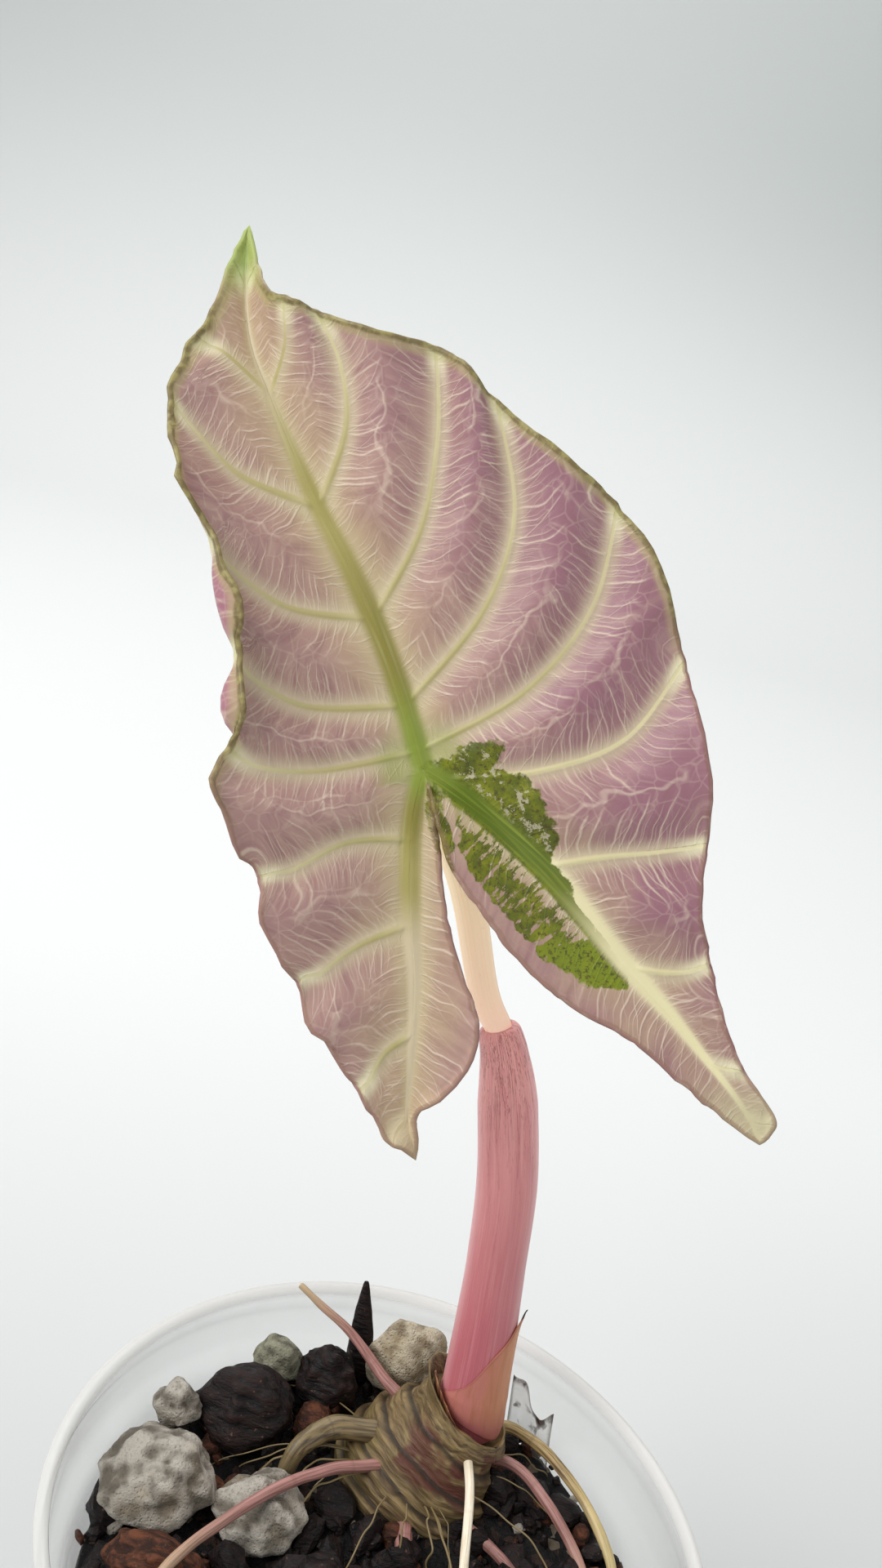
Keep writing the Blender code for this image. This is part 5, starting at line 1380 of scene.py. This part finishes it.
ROOT_COLOURS = {"pink_root": ((176, 126, 118), (124, 82, 74), (200, 178, 138)),
                "olive_root": ((132, 114, 78), (62, 48, 34), (120, 104, 74)),
                "cream_root": ((255, 246, 226), (232, 212, 178), (250, 238, 214)),
                "yellow_root": ((196, 170, 114), (98, 72, 48), (214, 196, 142))}


def root_finish(kind):
    """Fleshy skin in two tones, with darker rings here and there and a paler tip."""
    skin = Finish(kind, Roughness=0.45, Coat_Weight=0.1, Coat_Roughness=0.35)
    light, dark, end = ROOT_COLOURS[kind]
    share, cosine, sine = skin.attribute("tube_place")
    long_grain = skin.stretched(cosine * 3.0, sine * 3.0, share * 7.0)
    rings = skin.stretched(0.0, 0.0, share * 26.0, 2.0)
    base = long_grain.step(0.35, 0.7).blend(light, dark)
    base = base.layer(rings.step(0.55, 0.72) * 0.5, dark)
    base = base.layer(share.step(0.45, 0.95) * 0.8, end)
    return skin.finished(long_grain * 0.6 + rings * 0.5, 0.22, Base_Color=base)


root_materials = {kind: root_finish(kind) for kind in ROOT_COLOURS}


def build_root(name):
    """A tube with knots and a round tip, whose radius goes from the first to the second thickness."""
    route, start, end, kind = ROOTS[name]
    places = np.linspace(0, len(route) - 1, ROOT_ROWS)
    share = np.linspace(0, 1, ROOT_ROWS)[:, None]
    turns = around(ROOT_COLUMNS)
    path = smooth_curve(route, places)
    seed = len(name) + int(start * 10)
    path += 0.22 * xyz(*(soft_noise(path * 0.16 + k * 9.1, seed) for k in range(3)))
    tip = np.sqrt(np.clip(1 - ((share - 0.985) / 0.015).clip(0, 1) ** 2, 0.02, 1))
    knots = 1 + 0.09 * soft_noise(xyz(share * 9, 0.0, seed), seed)
    bumps = 0.04 * np.sin(3 * turns + 5 * share)
    radii = (start + (end - start) * share) * tip * (knots + bumps)
    add_piece(name + "_flesh", *closed_rings(tube(path, radii, turns)), root_materials[kind], kind, [name],
              {"tube_place": tube_values(ROOT_ROWS, ROOT_COLUMNS)})


for root_name in ROOTS:
    build_root(root_name)

# %% [markdown]
# Hair-thin dead roots run from the corm over the mix. They are joined into one mesh.

# %% Hair roots
HAIR_COUNT = 16
HAIR_ROWS = 60
HAIR_START = np.array((4.5, 25.0, 0.0))


def hair_roots(count, seed):
    """Thin tubes that start on the corm's lower half and wander outwards and down."""
    draw = np.random.default_rng(seed)
    points, sides, ends, total = [], [], [], 0
    for number in range(count):
        turn = math.radians(draw.uniform(150.0, 380.0))
        outward = np.array((math.cos(turn), math.sin(turn), 0.0))
        length = draw.uniform(6.0, 24.0)
        share = np.linspace(0, 1, HAIR_ROWS)
        route = HAIR_START + outward * (11.0 + length * share[:, None])
        route[:, 2] = 84.0 + 3.2 * np.sin(share * 2.6) - 7.6 * share ** 1.5
        sway = share * 4.0 + number * 3.7
        route += 2.2 * share[:, None] * xyz(*(soft_noise(xyz(sway, k, 0.0), seed) for k in range(3)))
        body, faces = closed_rings(tube(route, np.full((HAIR_ROWS, 1), draw.uniform(0.09, 0.2)), around(6)))
        points.append(body)
        sides.append(faces[0] + total)
        ends.extend(part + total for part in faces[1:])
        total += len(body)
    return np.concatenate(points), [np.concatenate(sides), np.concatenate(ends)]


hair_points, hair_faces = hair_roots(HAIR_COUNT, 71)
add_piece("hair_roots", hair_points, hair_faces, root_materials["olive_root"], "olive_root",
          values={"tube_place": np.tile((0.2, 0.5, 0.5), (len(hair_points), 1))})

# %% [markdown]
# ## Chunks of the mix
# The mix is coarse: pale pumice full of pores, blocks of bark and a few stones. A chunk starts as a ball of
# points. Random planes cut it flat, which makes it blocky, and noise roughens it: pits for pumice, long
# grain for bark, fine grit for stone.

# %% Chunk shapes
CHUNKS = {
    "pumice_left": ((-34, 9, 82), (9, 8, 6.8), 20, 3, 0.16, "pumice"),
    "bark_left": ((-30.4, -5, 80.2), (7.2, 4.2, 3.6), -10, 5, 0.12, "brown_bark"),
    "pumice_middle": ((-17.6, 8.2, 81), (7.2, 6.4, 5.2), 10, 8, 0.15, "pumice"),
    "pumice_front_left": ((-37.2, -12.4, 79.4), (3.4, 4, 3.6), 0, 12, 0.15, "pumice"),
    "pumice_back_left": ((-35, 20.6, 85.4), (3.8, 3.5, 4), 0, 15, 0.14, "pumice"),
    "bark_back_left": ((-24.6, 24.6, 84.4), (7, 6.2, 6.4), 0, 21, 0.12, "dark_bark"),
    "stone_back": ((-20.8, 35, 86), (4.4, 3.4, 4.2), 0, 23, 0.08, "grey_stone"),
    "bark_back": ((-12.2, 33.8, 85), (4.6, 4.6, 6.2), -15, 27, 0.13, "dark_bark"),
    "stone_cream": ((0.6, 40.4, 88.4), (7, 4.6, 7.4), 8, 31, 0.08, "pale_stone")}
BLOCK_POWER = 3.4
PLANES = 10
CRUMB_LEVEL = 2
CHUNK_LEVEL = 5
GRIT = {"pumice": 0.42, "brown_bark": 0.3, "dark_bark": 0.26, "grey_stone": 0.16, "pale_stone": 0.2}


def ball(subdivisions):
    """Directions and triangles of an even ball of triangles."""
    shape = bmesh.new()
    bmesh.ops.create_icosphere(shape, subdivisions=subdivisions, radius=1.0)
    directions = unit(np.array([vertex.co for vertex in shape.verts]))
    triangles = np.array([[vertex.index for vertex in face.verts] for face in shape.faces])
    shape.free()
    return directions, triangles


BALLS = {level: ball(level) for level in (CRUMB_LEVEL, CHUNK_LEVEL)}


def cut_planes(seed):
    """Random directions and the depth at which each cuts the ball."""
    draw = random.Random(seed)
    planes = []
    for _ in range(PLANES):
        direction = unit(np.array([draw.uniform(-1, 1) for _ in range(3)]))
        planes.append((direction, draw.uniform(0.72, 0.93)))
    return planes


def pressed(directions, planes):
    """How far each direction reaches: 1, or less where a plane cuts the ball."""
    reach = np.ones(len(directions))
    for direction, depth in planes:
        facing = directions @ direction
        limit = np.where(facing > 0.05, depth / np.maximum(facing, 0.05), 9.0)
        reach = np.minimum(reach, limit)
    return reach


def blocky(directions, seed):
    """Reach of a block with soft edges: a root of a sum of powers along three axes turned at random."""
    axes, _ = np.linalg.qr(np.random.default_rng(seed).normal(size=(3, 3)))
    return (np.abs(directions @ axes) ** BLOCK_POWER).sum(axis=1) ** (-1 / BLOCK_POWER) / 1.1


def chunk_points(centre, halves, turn, seed, lumpiness, kind):
    """A pressed ball, scaled, turned and made uneven along its own directions."""
    directions = BALLS[CHUNK_LEVEL][0]
    reach = np.minimum(blocky(directions, seed), pressed(directions, cut_planes(seed)) * 1.06)
    reach *= (1.1 if "bark" in kind else 1.03) * (1 + lumpiness * soft_noise(directions * 1.9 + seed, seed))
    scaled = directions * np.array(halves) * reach[:, None]
    grit = GRIT[kind] * min(1.0, min(halves) / 4.0)
    if kind == "pumice":
        worn = np.clip(0.5 + 1.2 * soft_noise(scaled * 0.22 + 5.0, seed + 9), 0, 1)
        rough = rough_noise(scaled * 0.32, 4, seed) * 1.3
        rough -= 1.6 * worn * np.clip(0.42 - cell_distance(scaled * 0.5, seed), 0, 1)
        rough -= 1.2 * np.clip(0.38 - cell_distance(scaled * 1.25, seed + 3), 0, 1)
    elif "bark" in kind:
        rough = 1.8 * rough_noise(scaled * (0.12, 0.5, 0.9), 4, seed)
        rough += 0.8 * np.abs(rough_noise(scaled * 0.4, 3, seed + 5))
    else:
        rough = rough_noise(scaled * 0.5, 4, seed)
    scaled = scaled + directions * (rough * grit)[:, None]
    cosine = math.cos(math.radians(turn))
    sine = math.sin(math.radians(turn))
    turned = np.array(((cosine, -sine, 0), (sine, cosine, 0), (0, 0, 1)))
    return np.array(centre) + scaled @ turned.T, rough


# %% Chunk materials


def stone_finish(name, light, dark, warm):
    """Porous or gritty stone: darker where its relief is low, warm stains and fine dark specks."""
    stone = Finish(name, Roughness=0.92)
    place = stone.place()
    relief = stone.attribute("relief")[0]
    stain = stone.noise(place, 190.0, 3.0)
    grain = stone.noise(place, 2200.0, 4.0, 0.7)
    pores = stone.cells(place, 1900.0)
    base = relief.step(-0.7, 0.5).blend(dark, light)
    base = base.layer(stain.step(0.5, 0.75) * 0.5, warm)
    base = base.layer(grain.step(0.5, 0.8) * 0.35, dark)
    return stone.finished(grain + pores.step(0.0, 0.5) * 0.5, 0.45, Base_Color=base)


def bark_finish(name, light, dark, damp):
    """Bark in layers: colour follows a stretched grain, and damp bark shines a little."""
    bark = Finish(name, Roughness=0.8, Specular_IOR_Level=0.3)
    place = bark.place()
    relief = bark.attribute("relief")[0]
    x, y, z = bark.parts(place)
    grain = bark.stretched(x * 320.0, y * 900.0, z * 1500.0, 4.0, 0.65)
    patch = bark.noise(place, 150.0, 2.0)
    base = (grain + relief * 0.12).step(0.35, 0.75).blend(dark, light)
    base = base.layer(patch.step(0.55, 0.75) * 0.5, dark)
    base = base.layer(bark.noise(place, 1200.0, 3.0).step(0.66, 0.74) * 0.35, (150, 110, 84))
    return bark.finished(grain, 0.6,
                         Base_Color=base, Roughness=grain.step(0.3, 0.7, 0.85 - damp, 0.9 - damp * 0.5))


chunk_materials = {
    "pumice": stone_finish("pumice", (192, 184, 172), (112, 104, 92), (184, 166, 138)),
    "brown_bark": bark_finish("brown_bark", (112, 66, 44), (48, 26, 17), 0.15),
    "dark_bark": bark_finish("dark_bark", (40, 23, 21), (8, 5, 5), 0.4),
    "grey_stone": stone_finish("grey_stone", (156, 154, 132), (96, 94, 78), (140, 134, 104)),
    "pale_stone": stone_finish("pale_stone", (208, 196, 172), (140, 124, 100), (184, 164, 122))}


def build_chunk(name, chunk):
    """One chunk over its CAD node."""
    kind = chunk[-1]
    points, rough = chunk_points(*chunk)
    add_piece(name + "_rough", points, [BALLS[CHUNK_LEVEL][1]], chunk_materials[kind], kind, [name],
              {"relief": xyz(rough, 0.0, 0.0)})


for chunk_name, chunk_settings in CHUNKS.items():
    build_chunk(chunk_name, chunk_settings)

# %% [markdown]
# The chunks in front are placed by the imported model. Their boxes give the centre and the half sizes, and
# the record gives the kind of each, so nothing has to be listed here.

# %% Chunks in front
slots_of_nodes = {row["node"]: row["material_slot"] for row in frame["record"]["subparts"]}
for chunk_name in sorted(name for name in frame["nodes"] if name.startswith("chunk_")):
    low, high = (np.array(corner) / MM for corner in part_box(chunk_name))
    halves = (high - low) / 2 * 1.04
    build_chunk(chunk_name, (tuple((low + high) / 2), tuple(halves), 0.0, 40 + int(chunk_name[-2:]), 0.12,
                             slots_of_nodes[chunk_name]))

# %% [markdown]
# ## The growing mix
# Between the chunks lie damp dark fines. The body of the mix fills the cup, so through the clear wall it
# shows a patchwork of bark, pumice and fines. It is a turned shape with a lumpy top: pieces stand out where
# a cell pattern is far from its borders.

# %% Mix shape
MIX_FRONT = 76.5
MIX_RISE = 4.6
FLOOR = 1.3
WALL = 0.95
GAP = 0.32
CUP_HEIGHT = 95.0
RIM_RADIUS = 50.0
BASE_RADIUS = 34.5
LEDGE_HEIGHT = 83.5
LEDGE_RADIUS = 46.2
NECK_RADIUS = 48.3


def wall_radius(height, inset):
    """Radius of the cup's slanted wall at a height, moved inwards."""
    return np.interp(height, (1.6, LEDGE_HEIGHT - 1.2), (BASE_RADIUS, LEDGE_RADIUS - 1.0)) - inset


def mix_top(x, y):
    """Height of the fines: a slope towards the back with small lumps."""
    slope = ease(y, -12.0, 38.0)
    sample = xyz(x * 0.2, y * 0.2, 0.0)
    crumbs = cell_distance(xyz(x * 0.75, y * 0.75, 2.0), 2)
    return (MIX_FRONT + MIX_RISE * slope + 0.7 * soft_noise(sample, 6)
            + 0.85 * (0.55 - np.minimum(crumbs, 0.9)) + 0.2 * rough_noise(sample * 6, 2, 4))


def mix_rings():
    """Rings up the side of the mix and then inwards over its top."""
    turn = around(300)[None]
    height = np.concatenate([[FLOOR + GAP], np.linspace(FLOOR + GAP + 0.8, 73.5, 150)])[:, None]
    radius = wall_radius(height, WALL + GAP + 0.1)
    radius[0] -= 1.5
    side = xyz(radius * np.cos(turn), radius * np.sin(turn), height)
    dents = np.minimum(cell_distance(side * 0.17, 12), 1.0) ** 2 * 2.2
    dents += 0.25 * np.abs(rough_noise(side * 0.8, 2, 3))
    side[..., :2] -= (side[..., :2] / radius[..., None]) * np.clip(dents, 0, 2.4)[..., None]
    share = np.linspace(1.0, 0.012, 110)[:, None]
    edge = wall_radius(74.5, WALL + GAP + 0.2)
    x = edge * share * np.cos(turn)
    y = edge * share * np.sin(turn)
    top = mix_top(x, y)
    top[0] -= 1.6
    return np.concatenate([side, xyz(x, y, top)])


def mix_finish():
    """Damp black-brown fines with patches of bark and pumice shut in between them."""
    mix = Finish("mix", Roughness=0.7, Specular_IOR_Level=0.3)
    place = mix.place()
    push = mix.node("TexNoise", values={"Vector": place, "Scale": 420.0, "Detail": 2.0}, output="Color")
    push = mix.vector("MULTIPLY_ADD", push, (0.006,) * 3, (-0.003,) * 3)
    bent = mix.vector("ADD", place, push)
    kind, second, _ = mix.parts(mix.cells(bent, 150.0, output="Color"))
    grain = mix.noise(place, 1300.0, 4.0, 0.7)
    bit, bit_two, _ = mix.parts(mix.cells(place, 620.0, output="Color"))
    side = mix.parts(place)[2].step(0.0755, 0.0735)
    fines = grain.step(0.35, 0.7).blend((5, 4, 4), (22, 18, 17))
    fines = fines.layer(bit.step(0.78, 0.80) * 0.7, (58, 40, 31))
    fines = fines.layer(bit_two.step(0.95, 0.96) * 0.7, (126, 112, 94))
    bark = grain.step(0.4, 0.7).blend((58, 34, 24), (122, 76, 50))
    pumice = grain.step(0.3, 0.6).blend((160, 154, 138), (212, 206, 190))
    inside = (mix.cells(bent, 150.0) + second * 0.22).step(0.72, 0.62) * side
    shown = fines.layer(kind.step(0.40, 0.42) * inside, bark)
    shown = shown.layer(kind.step(0.76, 0.78) * inside, pumice)
    return mix.finished(grain * 0.8 + bit * 0.4, 0.8,
                        Base_Color=shown, Roughness=grain.step(0.3, 0.7, 0.35, 0.7))


add_piece("mix_body", *closed_rings(mix_rings()), mix_finish(), "dark_mix", ["growing_mix"])

# %% [markdown]
# ## Crumbs
# Small crumbs of bark, charcoal and pumice lie all over the top and between the chunks. Each is a small
# pressed ball of a few dozen faces. They are scattered by a seeded draw and joined into one mesh for each
# kind.

# %% Scatter the crumbs
CRUMBS = {"crumbs_dark": (460, 0.7, 3.4, "dark_bark", 51), "crumbs_brown": (60, 0.7, 3.4, "brown_bark", 52),
          "crumbs_pale": (38, 0.5, 1.8, "pumice", 53)}
CRUMB_REACH = 43.6
CRUMB_EDGE = 43.9
CORM_SPOT = (4.0, 25.0)
CORM_CLEAR = 12.5


def scatter(name, count, small, large, kind, seed):
    """Crumbs on the fines, away from the corm: each has its own place, size, stretch and turn."""
    draw = np.random.default_rng(seed)
    directions, triangles = BALLS[CRUMB_LEVEL]
    radius = CRUMB_REACH * np.sqrt(draw.random(count * 2))
    turn = draw.random(count * 2) * math.tau
    spot = np.stack([radius * np.cos(turn), radius * np.sin(turn)], -1)
    clear = np.linalg.norm(spot - CORM_SPOT, axis=1) > CORM_CLEAR
    spot = spot[clear][:count]
    count = len(spot)
    size = small + (large - small) * draw.random(count) ** 2
    size = np.minimum(size, CRUMB_EDGE - np.linalg.norm(spot, axis=1) + 0.4)
    stretch = 0.4 + 1.0 * draw.random((count, 3))
    axes, _ = np.linalg.qr(draw.normal(size=(count, 3, 3)))
    axes[:, :, 0] *= np.sign(np.linalg.det(axes))[:, None]
    cut = np.clip(np.abs(directions).max(axis=1), 0.62, 0.86)
    shape = directions / cut[:, None] * 0.8
    lumps = 1 + 0.22 * soft_noise(directions[None] * 1.7 + draw.random((count, 1, 3)) * 50.0, seed)
    local = shape[None] * lumps[..., None] * (size[:, None] * stretch)[:, None]
    height = mix_top(spot[:, 0], spot[:, 1]) + 0.35 * size
    points = np.einsum("nij,nkj->nki", axes, local) + np.concatenate([spot, height[:, None]], 1)[:, None]
    faces = (triangles[None] + (np.arange(count) * len(directions))[:, None, None]).reshape(-1, 3)
    piece = add_piece(name, points.reshape(-1, 3), [faces], chunk_materials[kind], kind,
                      values={"relief": np.zeros((count * len(directions), 3))})
    piece.data.shade_flat()


for crumb_name, crumb_settings in CRUMBS.items():
    scatter(crumb_name, *crumb_settings)

# %% [markdown]
# ## The clear cup
# The cup is turned: its outline runs up the outside, over the rolled rim and down the inside. Its plastic is
# thin and clear, so it shows mostly at its rim, its ledge and where the eye meets the wall at a low angle.
# That is what the Layer Weight node measures, and it drives how solid the plastic looks.

# %% Cup


def cup_outline():
    """Points (radius, height) of the cup's section, with the rim as a small half circle."""
    bend = np.radians(np.linspace(-90, 90, 11))
    lip_radius = 1.05
    rim = np.stack([RIM_RADIUS - lip_radius + lip_radius * np.cos(bend),
                    CUP_HEIGHT - lip_radius + lip_radius * np.sin(bend)], -1)
    heights = np.linspace(2.2, LEDGE_HEIGHT - 1.2, 24)
    outside = [(BASE_RADIUS - 3.2, 0.0), (BASE_RADIUS - 1.0, 0.35), (BASE_RADIUS - 0.15, 1.2),
               *zip(wall_radius(heights, 0.0), heights),
               (LEDGE_RADIUS - 0.45, LEDGE_HEIGHT - 0.5), (LEDGE_RADIUS + 0.4, LEDGE_HEIGHT + 0.1),
               (NECK_RADIUS - 0.7, LEDGE_HEIGHT + 0.7), (NECK_RADIUS, LEDGE_HEIGHT + 1.6),
               (NECK_RADIUS + 0.2, 88.0), (NECK_RADIUS + 0.5, 88.5), (NECK_RADIUS + 0.5, 89.6),
               (NECK_RADIUS + 0.2, 90.1), (NECK_RADIUS + 0.3, 92.6)]
    inside = [(NECK_RADIUS - 0.15, CUP_HEIGHT - 0.2), (NECK_RADIUS - 0.5, CUP_HEIGHT - 1.2),
              (NECK_RADIUS - WALL + 0.3, 90.0), (NECK_RADIUS - WALL, LEDGE_HEIGHT + 1.9),
              (NECK_RADIUS - WALL - 0.8, LEDGE_HEIGHT + 1.2), (LEDGE_RADIUS - WALL, LEDGE_HEIGHT + 0.5),
              (LEDGE_RADIUS - WALL - 0.6, LEDGE_HEIGHT - 0.3),
              *zip(wall_radius(heights[::-1], WALL), heights[::-1]),
              (BASE_RADIUS - WALL - 1.4, FLOOR + 0.25), (BASE_RADIUS - WALL - 3.0, FLOOR)]
    return np.array([*outside, *rim, *inside])


def cup_finish():
    """Clear plastic that is more solid at a low angle, at its rim and where it is hazy."""
    clear = Finish("clear_plastic", Roughness=0.09, IOR=1.45)
    place = clear.place()
    facing = clear.node("LayerWeight", values={"Blend": 0.35}, output="Facing")
    haze = clear.noise(place, 60.0, 3.0)
    rim = clear.parts(place)[2].step(0.0925, 0.0942)
    solid = facing ** 1.7 * 0.5 + rim * 0.35 + haze.step(0.45, 0.7) * 0.04 + 0.09
    # whiter at the rim: partly its thicker rolled plastic, partly a painted highlight
    base = rim.blend((196, 197, 195), (236, 233, 229))
    return clear.finished(Base_Color=base, Alpha=solid.capped(), Roughness=haze.step(0.3, 0.7, 0.06, 0.16))


outline = cup_outline()
turns = around(192)
cup_rings = xyz(outline[:, :1] * np.cos(turns), outline[:, :1] * np.sin(turns), outline[:, 1:])
add_piece("cup_shell", *closed_rings(cup_rings), cup_finish(), "clear_cup", ["cup"])

# %% [markdown]
# ## Splinter, stick and papery skin
# A dark splinter of bark leans on the back wall and a brown stick lies in front. Behind the sheath is a
# scrap of old leaf base, dried to a clear brown film with dark edges.

# %% Small pieces
SPLINTER_PATH = [(-6.9, 40.6, 81), (-7.8, 41.4, 88), (-8.8, 42.6, 94), (-9.6, 43.6, 99.6)]
SPLINTER_RADII = (2.4, 2.2, 1.5, 0.35)
STICK_PATH = [(-22.6, -13.4, 78.6), (-8, -7.6, 79.4), (6.4, -3.4, 79.2)]
STICK_RADII = (1.3, 1.5, 1.2)


def woody_tube(name, path_points, path_radii, kind, node):
    """A tapered tube, flattened and with long splits."""
    places = np.linspace(0, len(path_points) - 1, 90)
    turns = around(36)
    path = smooth_curve(path_points, places)
    radii = straight(path_radii, places)
    rough = rough_noise(wrapped(turns, 2.0, places[:, None]) * (1.3, 1.3, 0.9), 3, 14)
    rings = tube(path, radii[:, None] * (1 + 0.12 * rough), turns, 0.6)
    add_piece(name, *closed_rings(rings), chunk_materials[kind], kind, [node],
              {"relief": xyz(np.append(rough, (0.0, 0.0)), 0.0, 0.0)})


def skin_sheet():
    """The film: a creased, wavy strip that rises from the mix."""
    share = np.linspace(0, 1, 60)[:, None]
    rise = np.linspace(0, 1, 60)[None]
    crease = 0.5 * np.sin(9 * share + 5 * rise) * rise + 0.35 * np.sin(17 * share - 3 * rise)
    x = 20.2 + 7.6 * share - 1.5 * rise + 0.3 * crease
    y = 36.0 - 4.0 * share + 1.2 * np.sin(5.0 * share + 2.0 * rise) + crease
    z = 81.6 + (12.5 - 4.0 * share + 0.9 * np.sin(7 * share)) * rise
    front = xyz(x, y, z)
    return front, front + (0.03, 0.16, 0.0), xyz(share, rise, 0.0)


def skin_finish():
    """Clear brown film, darker and more solid along its borders and creases."""
    film = Finish("film", Roughness=0.25, Coat_Weight=0.3)
    share, rise, _ = film.attribute("skin_place")
    crumple = film.noise(film.place(), 420.0, 4.0)
    border = rise.step(0.86, 0.98) + share.step(0.9, 1.0) + share.step(0.08, 0.0)
    dark = crumple.step(0.56, 0.68) * 0.7 + border * 0.6
    base = dark.capped().blend((206, 200, 190), (70, 52, 44))
    return film.finished(crumple, 0.5, Base_Color=base, Alpha=(0.22 + dark * 0.6).capped(0.9))


woody_tube("splinter_wood", SPLINTER_PATH, SPLINTER_RADII, "dark_bark", "splinter")
woody_tube("stick_wood", STICK_PATH, STICK_RADII, "brown_bark", "stick")
add_sheet("film_scrap", *skin_sheet(), "skin_place", skin_finish(), "papery_skin", ["papery_skin"])
